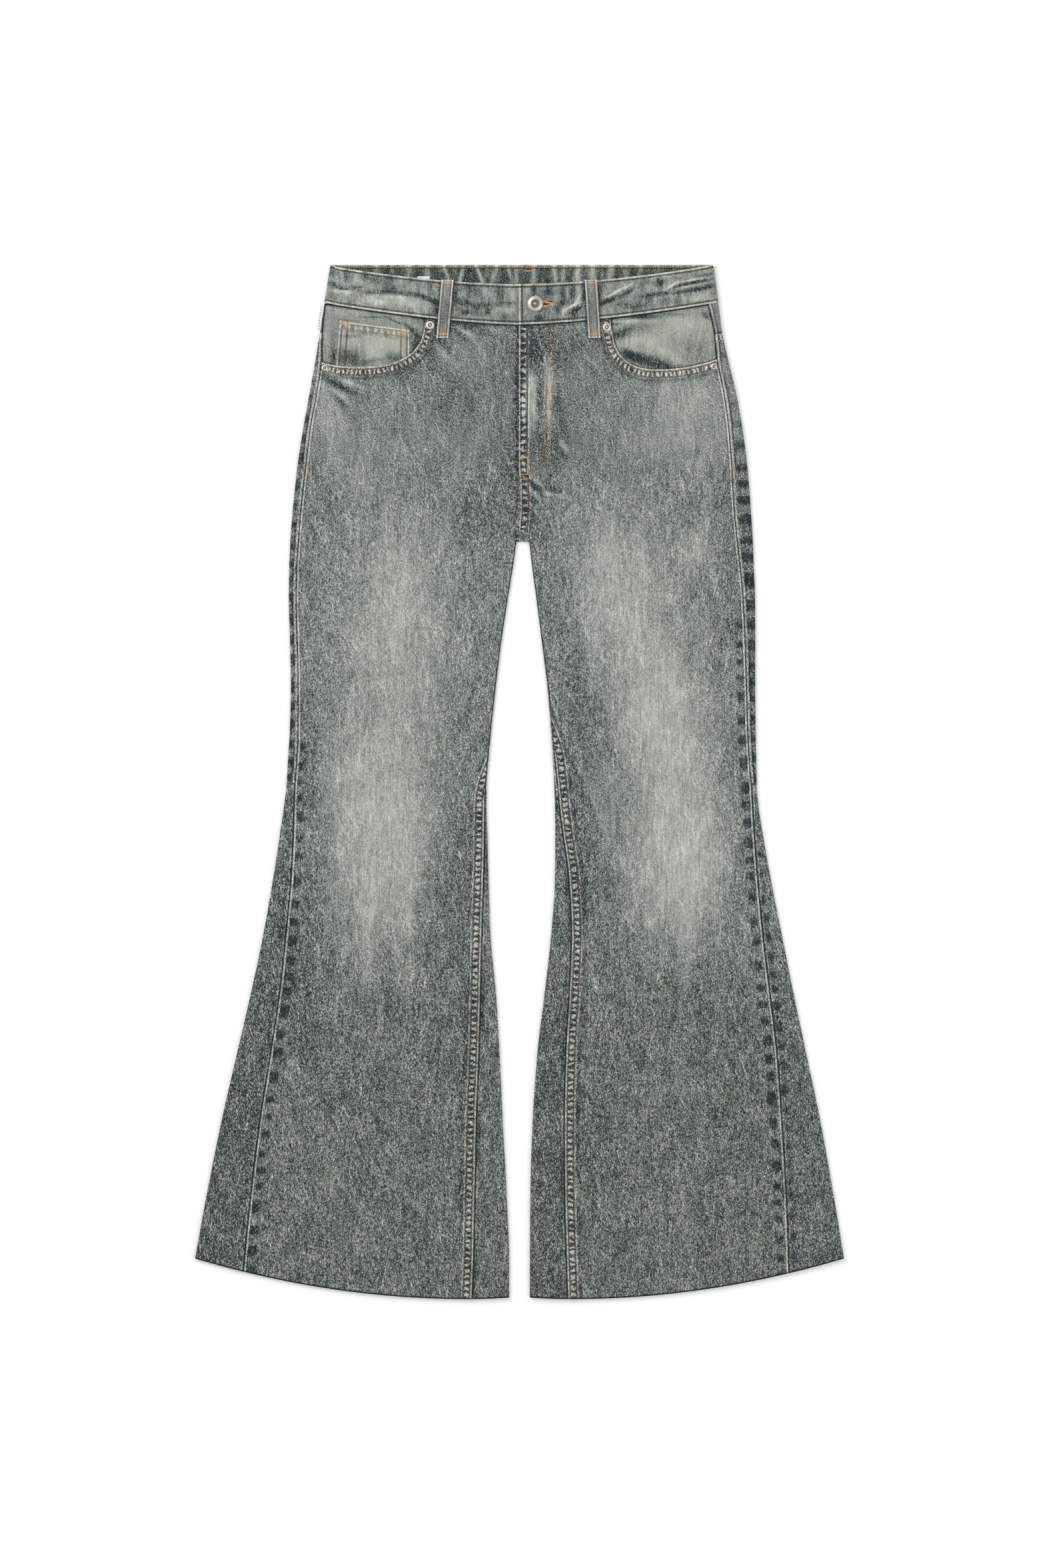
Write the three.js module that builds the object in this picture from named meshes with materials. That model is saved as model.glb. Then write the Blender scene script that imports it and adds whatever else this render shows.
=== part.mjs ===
// Flared five-pocket jeans with knee inserts, laid out flat with the front up.
// Millimetres. +Z is up off the surface that the jeans lie on, +Y runs from the hems to the waist, and
// +X is towards the wearer's left. The origin is the middle of the jeans' outline, on that surface.
// The cloth is a wall: the back lies on the surface, rolls round each side fold and meets the front.
import * as THREE from "three";
import { mergeVertices } from "three/addons/utils/BufferGeometryUtils.js";

// Driving dimensions
const CLOTH = 1.1; // one layer of denim
const BAND = 2.2; // the waistband, two layers
const PATCH = 1.0; // pocket facings, patches and back belt loops
const SEAM_GAP = 0.3; // between pieces that are sewn to each other
const LEG_LOFT = 4.6; // top of the front above the surface, in the legs
const HIP_LOFT = 6.4; // the same at the hips, over the pocket facings
const WAIST_LOFT = 7.4; // the same for the waistband
const BACK_LIFT = PATCH + SEAM_GAP; // height of the back over its belt loops and pockets
const WAIST_TOP = 543.2; // straight top of the back waistband
const WAIST_BOTTOM = 503;
const WAIST_TOP_DIP = 20.4; // how far the front waistband dips below those at the middle
const WAIST_BOTTOM_DIP = 22.8;
const WAIST_HALF = 206; // half of the waist, from fold to fold
const CENTRE_FRONT = -0.7; // x of the fly edge
const CENTRE_BACK = 3.2; // x of the seat seam
const CROTCH = 252.2; // y of the fold between the legs
const CROTCH_SEAM_END = 263; // y where the fronts end above that fold, so that the back shows
const OUTER_KNEE = -1; // y of the outer inserts' top seam
const INNER_KNEE = -15;
const HEM_LOW = -543.2;
const HEM_RISE = 42.7; // from the lowest part of the hem up to its outer corner
const HEM_BEND_FROM = -285; // y where the level lines start to curve towards the hem
const FELL_WIDTH = 9.8; // the flat-felled inseam below the knee
const FELL_RAISE = 0.8;
const FLY_WIDTH = 37;
const FLY_RAISE = 0.7;
const FLY_BOTTOM = 318;
const FLY_CURVE_FROM = 345;
const FLY_UNDERLAP = 4; // how far the right front runs under the fly edge
const MOUTH_HEM = 10.5; // the turned and stitched edge of a pocket mouth
const MOUTH_RAISE = 0.6;

// Half of the outline for each leg, from the middle line outwards: the fold on the outside, the outseam
// on the front, the inseam on the front and the fold on the inside.
const LEGS = {
  right: {
    sign: -1,
    rows: [
      { y: 545, outer: 198.4, outseam: 197.4, inseam: 0, inner: -4 },
      { y: 503, outer: 205.3, outseam: 203.8, inseam: 0, inner: -4 },
      { y: 472, outer: 209.8, outseam: 207.0, inseam: 0, inner: -4 },
      { y: 443, outer: 214.5, outseam: 207.9, inseam: 0, inner: -4 },
      { y: 408, outer: 220.8, outseam: 212.6, inseam: 0, inner: -4 },
      { y: 373, outer: 227.1, outseam: 219.0, inseam: 0, inner: -4 },
      { y: 331, outer: 233.6, outseam: 224.1, inseam: 0, inner: -4 },
      { y: 289, outer: 238.1, outseam: 228.9, inseam: 0, inner: -4 },
      { y: 252, outer: 241.0, outseam: 231.8, inseam: 4.1, inner: 3.1 },
      { y: 226, outer: 242.1, outseam: 233.6, inseam: 7.8, inner: 6.8 },
      { y: 191, outer: 242.5, outseam: 234.3, inseam: 13.4, inner: 12.4 },
      { y: 149, outer: 241.3, outseam: 233.1, inseam: 19.7, inner: 18.7 },
      { y: 100, outer: 240.4, outseam: 232.2, inseam: 25.9, inner: 24.7 },
      { y: 51, outer: 241.7, outseam: 232.2, inseam: 31.2, inner: 29.9 },
      { y: 16, outer: 243.9, outseam: 234.0, inseam: 34.6, inner: 33.0 },
      { y: -1, outer: 244.8, outseam: 235.3, inseam: 36.0, inner: 34.4 },
      { y: -26, outer: 247.7, outseam: 236.1, inseam: 37.0, inner: 34.6 },
      { y: -54, outer: 251.8, outseam: 236.9, inseam: 37.4, inner: 33.7 },
      { y: -100, outer: 258.8, outseam: 239.3, inseam: 38.4, inner: 32.5 },
      { y: -159, outer: 269.1, outseam: 244.6, inseam: 40.2, inner: 30.6 },
      { y: -222, outer: 282.4, outseam: 251.4, inseam: 41.7, inner: 24.8 },
      { y: -285, outer: 296.9, outseam: 260.8, inseam: 43.3, inner: 20.9 },
      { y: -355, outer: 313.0, outseam: 271.9, inseam: 46.0, inner: 17.7 },
      { y: -425, outer: 327.2, outseam: 280.6, inseam: 47.3, inner: 13.9 },
      { y: -501, outer: 341.2, outseam: 288.3, inseam: 48.9, inner: 10.9 },
      { y: -546, outer: 349.4, outseam: 291.6, inseam: 50.8, inner: 10.8 },
    ],
  },
  left: {
    sign: 1,
    rows: [
      { y: 545, outer: 203.6, outseam: 190.0, inseam: 0, inner: 2 },
      { y: 503, outer: 209.1, outseam: 197.8, inseam: 0, inner: 2 },
      { y: 472, outer: 213.1, outseam: 204.5, inseam: 0, inner: 2 },
      { y: 443, outer: 219.4, outseam: 207.3, inseam: 0, inner: 2 },
      { y: 408, outer: 227.8, outseam: 214.3, inseam: 0, inner: 2 },
      { y: 373, outer: 234.1, outseam: 219.2, inseam: 0, inner: 2 },
      { y: 331, outer: 239.6, outseam: 222.6, inseam: 0, inner: 2 },
      { y: 289, outer: 243.0, outseam: 224.9, inseam: 0, inner: 2 },
      { y: 252, outer: 245.3, outseam: 228.4, inseam: 11.1, inner: 10.1 },
      { y: 226, outer: 246.3, outseam: 231.3, inseam: 14.1, inner: 13.1 },
      { y: 191, outer: 247.7, outseam: 234.4, inseam: 18.9, inner: 17.8 },
      { y: 149, outer: 247.9, outseam: 236.5, inseam: 24.3, inner: 23.0 },
      { y: 100, outer: 247.9, outseam: 237.9, inseam: 30.7, inner: 29.0 },
      { y: 51, outer: 248.3, outseam: 239.4, inseam: 35.1, inner: 33.1 },
      { y: 16, outer: 249.0, outseam: 241.4, inseam: 38.4, inner: 35.4 },
      { y: -1, outer: 249.3, outseam: 242.9, inseam: 40.2, inner: 36.4 },
      { y: -26, outer: 251.2, outseam: 244.3, inseam: 42.7, inner: 37.2 },
      { y: -54, outer: 255.6, outseam: 246.0, inseam: 46.2, inner: 37.5 },
      { y: -100, outer: 263.7, outseam: 249.5, inseam: 52.4, inner: 37.2 },
      { y: -159, outer: 275.4, outseam: 254.9, inseam: 55.3, inner: 33.4 },
      { y: -222, outer: 288.0, outseam: 262.4, inseam: 52.9, inner: 26.4 },
      { y: -285, outer: 301.3, outseam: 269.8, inseam: 49.3, inner: 18.7 },
      { y: -355, outer: 316.0, outseam: 274.9, inseam: 47.7, inner: 13.9 },
      { y: -425, outer: 328.6, outseam: 279.1, inseam: 48.1, inner: 11.5 },
      { y: -501, outer: 341.2, outseam: 282.1, inseam: 49.9, inner: 10.9 },
      { y: -546, outer: 348.4, outseam: 283.0, inseam: 51.6, inner: 10.8 },
    ],
  },
};

// The curved front pocket mouths: where they leave the waistband, where they run lowest, how deep that is
// and how far they climb again to the outseam. Distances are from the fly edge.
const MOUTHS = {
  right: { start: 99, low: 172, depth: 51.8, climb: 4.5 },
  left: { start: 97.4, low: 147, depth: 54.1, climb: 9.9 },
};

// Back pocket outline, by its distances from the seat seam and its heights.
const POCKET = {
  inner: 30,
  outer: 168,
  top: 414,
  rise: 8,
  footInner: 38,
  footOuter: 160,
  foot: 290,
  point: 268,
};

// The largest creases of the front: middle, direction, length, width and height off the cloth.
const CREASES = [
  { x: -178, y: 412, angle: -30, length: 52, width: 8, height: 0.8 },
  { x: -150, y: 300, angle: -62, length: 120, width: 13, height: 0.5 },
  { x: 24, y: 300, angle: -36, length: 44, width: 7, height: 0.7 },
  { x: 104, y: 330, angle: -70, length: 130, width: 13, height: 0.5 },
  { x: 84, y: 2, angle: -68, length: 170, width: 12, height: 0.9 },
  { x: 112, y: -96, angle: -78, length: 190, width: 13, height: 0.7 },
  { x: 176, y: -320, angle: -82, length: 210, width: 15, height: 0.7 },
  { x: -92, y: -20, angle: -105, length: 200, width: 12, height: 0.6 },
  { x: -158, y: -150, angle: -97, length: 230, width: 15, height: 0.8 },
  { x: -128, y: -330, angle: -76, length: 220, width: 14, height: 0.7 },
  { x: -216, y: -400, angle: -68, length: 190, width: 13, height: 0.7 },
  { x: 238, y: -420, angle: -108, length: 170, width: 13, height: 0.6 },
];

const { clamp, degToRad, lerp: mix, smoothstep } = THREE.MathUtils;
// A soft step from 0 where value is `from` to 1 where it is `to`.
const smooth = (from, to, value) => smoothstep((value - from) / (to - from), 0, 1);
// Fractions from 0 to 1 in so many equal steps.
const steps = (count) => Array.from({ length: count + 1 }, (_, i) => i / count);

// A cubic through the table's rows that never overshoots them, read at height y for one column.
function readTable(rows, column, y) {
  const last = rows.length - 1;
  let k = 0;
  while (k < last - 1 && y < rows[k + 1].y) k++;
  const slope = (i) => (rows[i + 1][column] - rows[i][column]) / (rows[i + 1].y - rows[i].y);
  const tangent = (i) => {
    if (i === 0 || i === last) return slope(Math.min(i, last - 1));
    const [before, after] = [slope(i - 1), slope(i)];
    return before * after <= 0 ? 0 : (2 * before * after) / (before + after);
  };
  const span = rows[k + 1].y - rows[k].y;
  const t = clamp((y - rows[k].y) / span, 0, 1);
  const [t2, t3] = [t * t, t * t * t];
  return (
    (2 * t3 - 3 * t2 + 1) * rows[k][column] +
    (t3 - 2 * t2 + t) * span * tangent(k) +
    (3 * t2 - 2 * t3) * rows[k + 1][column] +
    (t3 - t2) * span * tangent(k + 1)
  );
}
const at = (leg, column, y) => leg.sign * readTable(leg.rows, column, y);

// Each side fold of a leg: the seam in front of it and the way that it faces.
const foldSeam = { outer: "outseam", inner: "inseam" };
const foldSign = (leg, column) => (column === "outer" ? leg.sign : -leg.sign);

// The hem's height: level near the inseam and curving up to the outer corner.
function hemY(x) {
  const out = (Math.abs(x) - 55) / 286;
  return HEM_LOW + out * out * (out > 0 ? HEM_RISE : 70);
}
// Bends a level line towards the hem, more and more below HEM_BEND_FROM.
const bendShare = (y) => clamp((HEM_BEND_FROM - y) / (HEM_BEND_FROM - HEM_LOW), 0, 1);
const bendToHem = (x, y) => y + bendShare(y) * (hemY(x) - HEM_LOW);

// The front waistband's edges dip in the middle.
const bandEdge = (x, height, dip, power) =>
  height - dip * (1 - Math.min(1, Math.abs(x - CENTRE_FRONT) / WAIST_HALF) ** power);
const bandBottom = (x) => bandEdge(x, WAIST_BOTTOM, WAIST_BOTTOM_DIP, 1.5);
const bandTop = (x) => bandEdge(x, WAIST_TOP, WAIST_TOP_DIP, 1.75);

// The pocket mouth: a quarter of a superellipse from the waistband down, then a slow climb to the outseam.
const mouthStart = (side) => CENTRE_FRONT + LEGS[side].sign * MOUTHS[side].start;
function mouthY(side, x) {
  const mouth = MOUTHS[side];
  const d = LEGS[side].sign * (x - CENTRE_FRONT);
  if (d <= mouth.start) return bandBottom(x);
  const reach = clamp((mouth.low - d) / (mouth.low - mouth.start), 0, 1);
  const drop = mouth.depth * (1 - reach ** 2.6) ** (1 / 2.6);
  const beyond = Math.max(0, d - mouth.low) / (WAIST_HALF - mouth.low);
  return bandBottom(mouthStart(side)) - drop + mouth.climb * beyond * beyond;
}

// The yoke's seam runs down from each side fold to the seat seam.
const yokeSeam = (x) => 425 + (48 / 210) * Math.abs(x - CENTRE_BACK);

const loft = (y) => mix(LEG_LOFT, HIP_LOFT, smooth(270, 400, y));
const edgeLift = (y) => BACK_LIFT * smooth(370, 415, y);

// How far the back's underside lies off the surface: up at the hips, and up over each back pocket.
function backLift(x, y) {
  const side = Math.abs(x - CENTRE_BACK);
  const across = Math.max(POCKET.inner - side, side - POCKET.outer);
  const along = Math.max(y - POCKET.top - POCKET.rise, POCKET.point - y);
  return Math.max(edgeLift(y), BACK_LIFT * smooth(21, 9, Math.max(across, along)));
}

// The circle that the cloth turns round at a side fold, at height y.
function foldCircle(leg, column, y) {
  const radius = (loft(y) - edgeLift(y)) / 2;
  const out = foldSign(leg, column);
  return { radius, out, x: at(leg, column, y) - out * radius, z: edgeLift(y) + radius };
}

function creaseHeight(x, y) {
  let height = 0;
  for (const crease of CREASES) {
    const [dx, dy, turn] = [x - crease.x, y - crease.y, degToRad(crease.angle)];
    const along = (2 * (dx * Math.cos(turn) + dy * Math.sin(turn))) / crease.length;
    const across = (dy * Math.cos(turn) - dx * Math.sin(turn)) / crease.width;
    height += crease.height * Math.exp(-(across * across) - along ** 4);
  }
  return height;
}

// Height of the cloth that faces up: level across the leg, rolling down towards each side fold.
function frontTop(leg, x, y) {
  let inside = leg.sign * (at(leg, "outer", y) - x);
  if (y <= CROTCH) inside = Math.min(inside, leg.sign * (x - at(leg, "inner", y)));
  const radius = (loft(y) - edgeLift(y)) / 2;
  const rest = Math.max(0, radius - Math.max(0, inside));
  const roll = Math.sqrt(radius * radius - rest * rest) - radius;
  return loft(y) + roll + creaseHeight(x, y) * smooth(0, 14, inside);
}

// Merges a shape's doubled points and turns its faces outwards.
function closed(positions, faces) {
  const point = (i) => new THREE.Vector3().fromArray(positions, 3 * i);
  let volume = 0;
  for (let i = 0; i < faces.length; i += 3) {
    volume += point(faces[i]).dot(point(faces[i + 1]).cross(point(faces[i + 2])));
  }
  const geometry = new THREE.BufferGeometry();
  geometry.setAttribute("position", new THREE.Float32BufferAttribute(positions, 3));
  geometry.setIndex(volume < 0 ? faces.toReversed() : faces);
  return mergeVertices(geometry, 1e-4);
}

// A closed wall between the outer and the inner points of a grid, given as rows of {outer, inner}. Cells
// that `keep` refuses are left open, and each edge beside such a cell gets a side wall of its own.
function wall(paths, keep = () => true) {
  const [rows, columns] = [paths.length - 1, paths[0].length - 1];
  const layer = (rows + 1) * (columns + 1);
  const points = paths.flat();
  const positions = [...points.map((p) => p.outer), ...points.map((p) => p.inner)].flat();
  const open = (r, c) => r < 0 || c < 0 || r >= rows || c >= columns || !keep(r, c);
  const faces = [];
  const quad = (a, b, c, d) => faces.push(a, b, c, a, c, d);
  for (let r = 0; r < rows; r++) {
    for (let c = 0; c < columns; c++) {
      if (open(r, c)) continue;
      const a = r * (columns + 1) + c;
      const [b, d, e] = [a + 1, a + columns + 1, a + columns + 2];
      quad(a, b, e, d);
      quad(a + layer, d + layer, e + layer, b + layer);
      if (open(r - 1, c)) quad(b, a, a + layer, b + layer);
      if (open(r + 1, c)) quad(d, e, e + layer, d + layer);
      if (open(r, c - 1)) quad(a, d, d + layer, a + layer);
      if (open(r, c + 1)) quad(e, b, b + layer, e + layer);
    }
  }
  return closed(positions, faces);
}

// A point of cloth whose outer face is at z and whose inner face lies so far below it.
const facingUp = (x, y, z, thickness) => ({ outer: [x, y, z], inner: [x, y, z - thickness] });
const facingDown = (x, y, z, thickness) => ({ outer: [x, y, z], inner: [x, y, z + thickness] });

// Where the seam that a fold's seam meets runs on the underside, always inside the fold.
function underSeam(leg, column, y) {
  const circle = foldCircle(leg, column, y);
  const inside = Math.max(circle.out * (circle.x - at(leg, foldSeam[column], y)), 0.6);
  return circle.x - circle.out * inside;
}

// Points round a side fold at height y: from the seam on the front over the fold to the middle of its
// underside, and on to backX where counts.back asks for it.
function foldPath(leg, column, y, seamX, backX, counts) {
  const { radius, out, x: centreX, z: centreZ } = foldCircle(leg, column, y);
  const inside = out * (at(leg, column, y) - seamX);
  const strip = Math.max(0, inside - radius);
  const startAngle = Math.acos(clamp((radius - inside) / radius, 0, 1));
  const arc = radius * (startAngle + Math.PI / 2);
  const lead = strip + 0.14 * arc;
  const lengths = [
    ...steps(counts.strip).map((f) => f * lead),
    ...steps(counts.arc).slice(1).map((f) => mix(lead, strip + arc, f)),
  ];
  const path = lengths.map((length, i) => {
    const x = seamX + out * length;
    if (length < strip || i === 0) return facingUp(x, y, frontTop(leg, x, y), CLOTH);
    const angle = startAngle - (length - strip) / radius;
    const ring = (r) => [centreX + out * r * Math.cos(angle), y, centreZ + r * Math.sin(angle)];
    return { outer: ring(radius), inner: ring(radius - CLOTH) };
  });
  for (const f of steps(counts.back || 1).slice(1)) {
    if (counts.back) path.push(facingDown(mix(centreX, backX, f), y, edgeLift(y), CLOTH));
  }
  return path;
}

// Solves for a point whose place depends on its own bent height: `place` gives the point at a height,
// and `bend` the height that belongs to the point.
function settle(y, place, bend) {
  let point = place(y);
  for (let pass = 0; pass < 6; pass++) point = place(bend(point.outer[0]));
  return point;
}

// Heights of the level lines that all the leg pieces share, so that their seams meet point by point.
const HIP_LEVELS = [404, 370, 345, 333, 320, 305, 290, CROTCH_SEAM_END, CROTCH_SEAM_END - 0.6];
const THIGH_LEVELS = [CROTCH, 226, 191, 149, 100, 51];
const SHIN_LEVELS = [-54, -100, -159, -222, -285, -355, -425, -490, HEM_LOW];

// One front panel, from the waistband and pocket mouth down to the hem, between outseam and inseam.
const FRONT_LEVELS = [...HIP_LEVELS, ...THIGH_LEVELS, OUTER_KNEE, INNER_KNEE, ...SHIN_LEVELS];

function frontInnerX(side, y) {
  const leg = LEGS[side];
  const underlap = side === "right" ? FLY_UNDERLAP * smooth(305, 333, y) : 0;
  const centre = CENTRE_FRONT + underlap + 1.6 * smooth(333, 305, y) * smooth(CROTCH_SEAM_END, 290, y);
  const edge = y >= CROTCH_SEAM_END ? centre : at(leg, "inseam", Math.min(y, CROTCH));
  return edge + leg.sign * (SEAM_GAP / 2);
}

// How far the front stands proud of the level cloth: the felled seam, the fly's doubled cloth on the
// left, and the hem of the pocket mouth. The right front dives under the fly edge.
function frontRaise(side, x, y) {
  const leg = LEGS[side];
  const d = leg.sign * (x - frontInnerX(side, y));
  const fell = d < FELL_WIDTH + 0.4 ? FELL_RAISE * smooth(30, OUTER_KNEE, y) : 0;
  const below = mouthY(side, x) - y;
  const hem = below < MOUTH_HEM + 0.2 ? MOUTH_RAISE * smooth(-2, 6, leg.sign * (x - mouthStart(side))) : 0;
  if (side === "right") return fell + hem;
  const curve = Math.max(0, FLY_CURVE_FROM - y) / (FLY_CURVE_FROM - FLY_BOTTOM);
  const reach = curve < 1 ? FLY_WIDTH * Math.sqrt(1 - curve * curve) : 0;
  const crotch = y < 330 && y >= CROTCH_SEAM_END ? FELL_WIDTH : 0;
  return fell + hem + FLY_RAISE * smooth(0.6, -0.6, d - Math.max(reach, crotch));
}
const frontDive = (side, d, y) =>
  side === "right" ? (CLOTH + SEAM_GAP) * smooth(17, 5, d) * smooth(290, 305, y) : 0;

function frontPanel(side) {
  const leg = LEGS[side];
  const outerX = (y) => at(leg, "outseam", y) - leg.sign * (SEAM_GAP / 2);
  const widthAt = (y) => Math.abs(outerX(y) - frontInnerX(side, y));
  const near = [0, 4.9, FELL_WIDTH, 10.6, 22, 36.4, 37.6];
  const fixed = near.at(-1);
  const top = bandBottom(mouthStart(side));
  const start = Math.abs(mouthStart(side) - frontInnerX(side, top));
  const curve = [-8, 0, 1.5, 5, 12, 24, 38, 54, 70, 88].map((d) => start + d);
  const shares = [54, 72, ...curve, widthAt(top)].map((d) => (d - fixed) / (widthAt(top) - fixed));
  const columnX = [
    ...near.map((d) => (y) => frontInnerX(side, y) + leg.sign * d),
    ...shares.map((share) => (y) => frontInnerX(side, y) + leg.sign * mix(fixed, widthAt(y), share)),
  ];
  const edge = (x) => mouthY(side, x) - SEAM_GAP;
  const bends = [
    edge,
    (x) => edge(x) - MOUTH_HEM + SEAM_GAP,
    (x) => edge(x) - MOUTH_HEM - 0.6,
    (x) => mix(edge(x) - MOUTH_HEM, FRONT_LEVELS[0], 0.45),
    ...FRONT_LEVELS.map((level) => (x) => bendToHem(x, level)),
  ];
  const paths = bends.map((bend, row) =>
    columnX.map((place) =>
      settle(
        FRONT_LEVELS[Math.max(0, row - 4)],
        (y) => {
          const x = place(y);
          const z = frontTop(leg, x, y) - frontDive(side, leg.sign * (x - frontInnerX(side, y)), y);
          return { outer: [x, y, z + frontRaise(side, x, y)], inner: [x, y, z - CLOTH] };
        },
        bend,
      ),
    ),
  );
  return wall(paths);
}

// One back panel, from the yoke seam down. Above the knee it rolls round both folds to the front's
// seams. Below the knee it stops at the inserts. At the crotch it turns up behind the fronts.
const SEAT_LEVELS = [404, 370, 333, 290, CROTCH_SEAM_END, CROTCH + 0.7];
const BACK_LEVELS = [...SEAT_LEVELS, ...FRONT_LEVELS.slice(HIP_LEVELS.length)];
const SEAT_SHARES = [0, 0.1, 0.18, 0.25, 0.38, 0.52, 0.66, 0.8, 0.88, 0.93, 0.972, 1];
const CROTCH_TURN = { half: 6.7, height: 2.1 };

function backPanel(side) {
  const leg = LEGS[side];
  const gap = leg.sign * (SEAM_GAP / 2);
  const yokeRows = 2;
  const counts = { strip: 2, arc: 4, back: 0 };
  const rows = [OUTER_KNEE, OUTER_KNEE, ...BACK_LEVELS];
  const rowPath = (level, row) => {
    const bend = (x) => {
      const seam = yokeSeam(x) - SEAM_GAP;
      if (row < yokeRows) return row === 0 ? seam : mix(seam, BACK_LEVELS[0], 0.5);
      return bendToHem(x, level);
    };
    const low = row >= yokeRows && level <= CROTCH;
    const around = (column) => {
      const y = bend(at(leg, column, row < yokeRows ? 470 : level));
      const seamX = at(leg, foldSeam[column], y) + foldSign(leg, column) * (SEAM_GAP / 2);
      return foldPath(leg, column, y, seamX, 0, counts);
    };
    const from = (y) => underSeam(leg, "outer", y) - gap;
    const to = (y) => (low ? underSeam(leg, "inner", y) + gap : CENTRE_BACK + gap);
    const seat = SEAT_SHARES.map((share) =>
      settle(
        level,
        (y) => {
          const x = mix(from(y), to(y), share);
          const turned = !low && y <= CROTCH_SEAM_END && Math.abs(x - CENTRE_BACK) < CROTCH_TURN.half;
          return facingDown(x, y, backLift(x, y), CLOTH + (turned ? CROTCH_TURN.height : 0));
        },
        bend,
      ),
    );
    return [...around("outer"), ...seat, ...around("inner").reverse()];
  };
  const foldCells = counts.strip + counts.arc + 1;
  const lastSeat = foldCells + SEAT_SHARES.length - 1;
  const keep = (r, c) => {
    if (c < foldCells) return rows[r + 1] >= OUTER_KNEE || r < yokeRows;
    return c < lastSeat || (r >= yokeRows && rows[r] <= CROTCH && rows[r + 1] >= INNER_KNEE);
  };
  return wall(rows.map(rowPath), keep);
}

// One knee insert: a triangle of cloth let in at the seam, folded over the leg's edge.
function insert(side, column) {
  const leg = LEGS[side];
  const out = foldSign(leg, column);
  const counts = { strip: 3, arc: 4, back: 1 };
  const knee = column === "outer" ? [OUTER_KNEE - SEAM_GAP, INNER_KNEE] : [INNER_KNEE - SEAM_GAP];
  const place = (y, i) => {
    const seamX = at(leg, foldSeam[column], y) + out * (SEAM_GAP / 2);
    const backX = underSeam(leg, column, y) + out * (SEAM_GAP / 2);
    return foldPath(leg, column, y, seamX, backX, counts)[i];
  };
  const columns = [...Array(counts.strip + counts.arc + 1 + counts.back).keys()];
  const bent = (level, i) =>
    settle(
      level,
      (y) => place(y, i),
      (x) => bendToHem(x, level),
    );
  return wall([...knee, ...SHIN_LEVELS].map((level) => columns.map((i) => bent(level, i))));
}

// Half of the yoke: the shaped strip between the back's seam and the waistband, round the side fold.
function yoke(side) {
  const leg = LEGS[side];
  const gap = leg.sign * (SEAM_GAP / 2);
  const counts = { strip: 2, arc: 5, back: 0 };
  const paths = steps(3).map((f) => {
    const top = WAIST_BOTTOM - SEAM_GAP;
    const y = mix(top, yokeSeam(at(leg, "outer", 473)), f);
    const around = foldPath(leg, "outer", y, at(leg, "outseam", y) + gap, 0, counts);
    for (const { outer, inner } of around.slice(0, counts.strip + 1)) {
      const drop = (1 - f) * (bandBottom(outer[0]) - WAIST_BOTTOM);
      outer[1] += drop;
      inner[1] += drop;
    }
    const from = around.at(-1).outer[0];
    const across = steps(6).slice(1).map((share) => {
      const x = mix(from, CENTRE_BACK + gap, share);
      return facingDown(x, mix(top, yokeSeam(x), f), BACK_LIFT, CLOTH);
    });
    return [...around, ...across];
  });
  return wall(paths);
}

// The waistband is one strip: from the buttoned end on the left front, round the left fold, along the
// back, round the right fold and under the buttoned end. It has a slot for the button.
const SLOT = { from: 13.6, to: 34, half: 1.9 };
const UNDERLAP_END = 27;
const UNDERLAP_TOP = 6.0;
const OVERLAP_TOP = UNDERLAP_TOP + SEAM_GAP + BAND;

function waistband() {
  const frontLeft = [CENTRE_FRONT, 5, SLOT.from, SLOT.to, 48, 64, 90, 120, 150, 178];
  const back = [180, 120, 60, 0, -60, -120, -176];
  const frontRight = [-174, -148, -118, -88, -62, -36, -20, -8, 8, UNDERLAP_END];
  const angles = [90, 60, 30, 0, -30, -60, -90];
  const rows = [0, 0.5 - SLOT.half / 42, 0.5 + SLOT.half / 42, 1];
  const paths = rows.map((share) => {
    const front = (x, top) => facingUp(x, mix(bandBottom(x), bandTop(x), share), top, BAND);
    const backY = mix(WAIST_BOTTOM, WAIST_TOP, share);
    const round = (leg, turns) => {
      const radius = (WAIST_LOFT - BACK_LIFT) / 2;
      const centre = at(leg, "outer", backY) - leg.sign * radius;
      return turns.map((degrees) => {
        const [across, up] = [leg.sign * Math.cos(degToRad(degrees)), Math.sin(degToRad(degrees))];
        const ring = (r) => [centre + r * across, backY, BACK_LIFT + radius + r * up];
        return { outer: ring(radius), inner: ring(radius - BAND) };
      });
    };
    return [
      ...frontLeft.map((x) => front(x, mix(OVERLAP_TOP, WAIST_LOFT, smooth(38, 62, x)))),
      ...round(LEGS.left, angles),
      ...back.map((x) => facingDown(x, backY, BACK_LIFT, BAND)),
      ...round(LEGS.right, angles.toReversed()),
      ...frontRight.map((x) => front(x, mix(WAIST_LOFT, UNDERLAP_TOP, smooth(-36, -8, x)))),
    ];
  });
  const slotColumn = frontLeft.indexOf(SLOT.from);
  return wall(paths, (r, c) => !(r === 1 && c === slotColumn));
}

// The denim facing that shows in a pocket mouth. It starts under the front, a little below the mouth,
// and comes up to the front's level at the waistband.
const FACING_UNDER = 7;
const FACING_DROP = CLOTH + 2 * SEAM_GAP + PATCH;

function facingTop(side, x, y) {
  const leg = LEGS[side];
  const beside = leg.sign * (x - mouthStart(side));
  const open = smooth(3, 28, y - mouthY(side, x)) * smooth(2, 16, beside);
  return frontTop(leg, x, y) - mix(FACING_DROP, 0.5, open);
}

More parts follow.
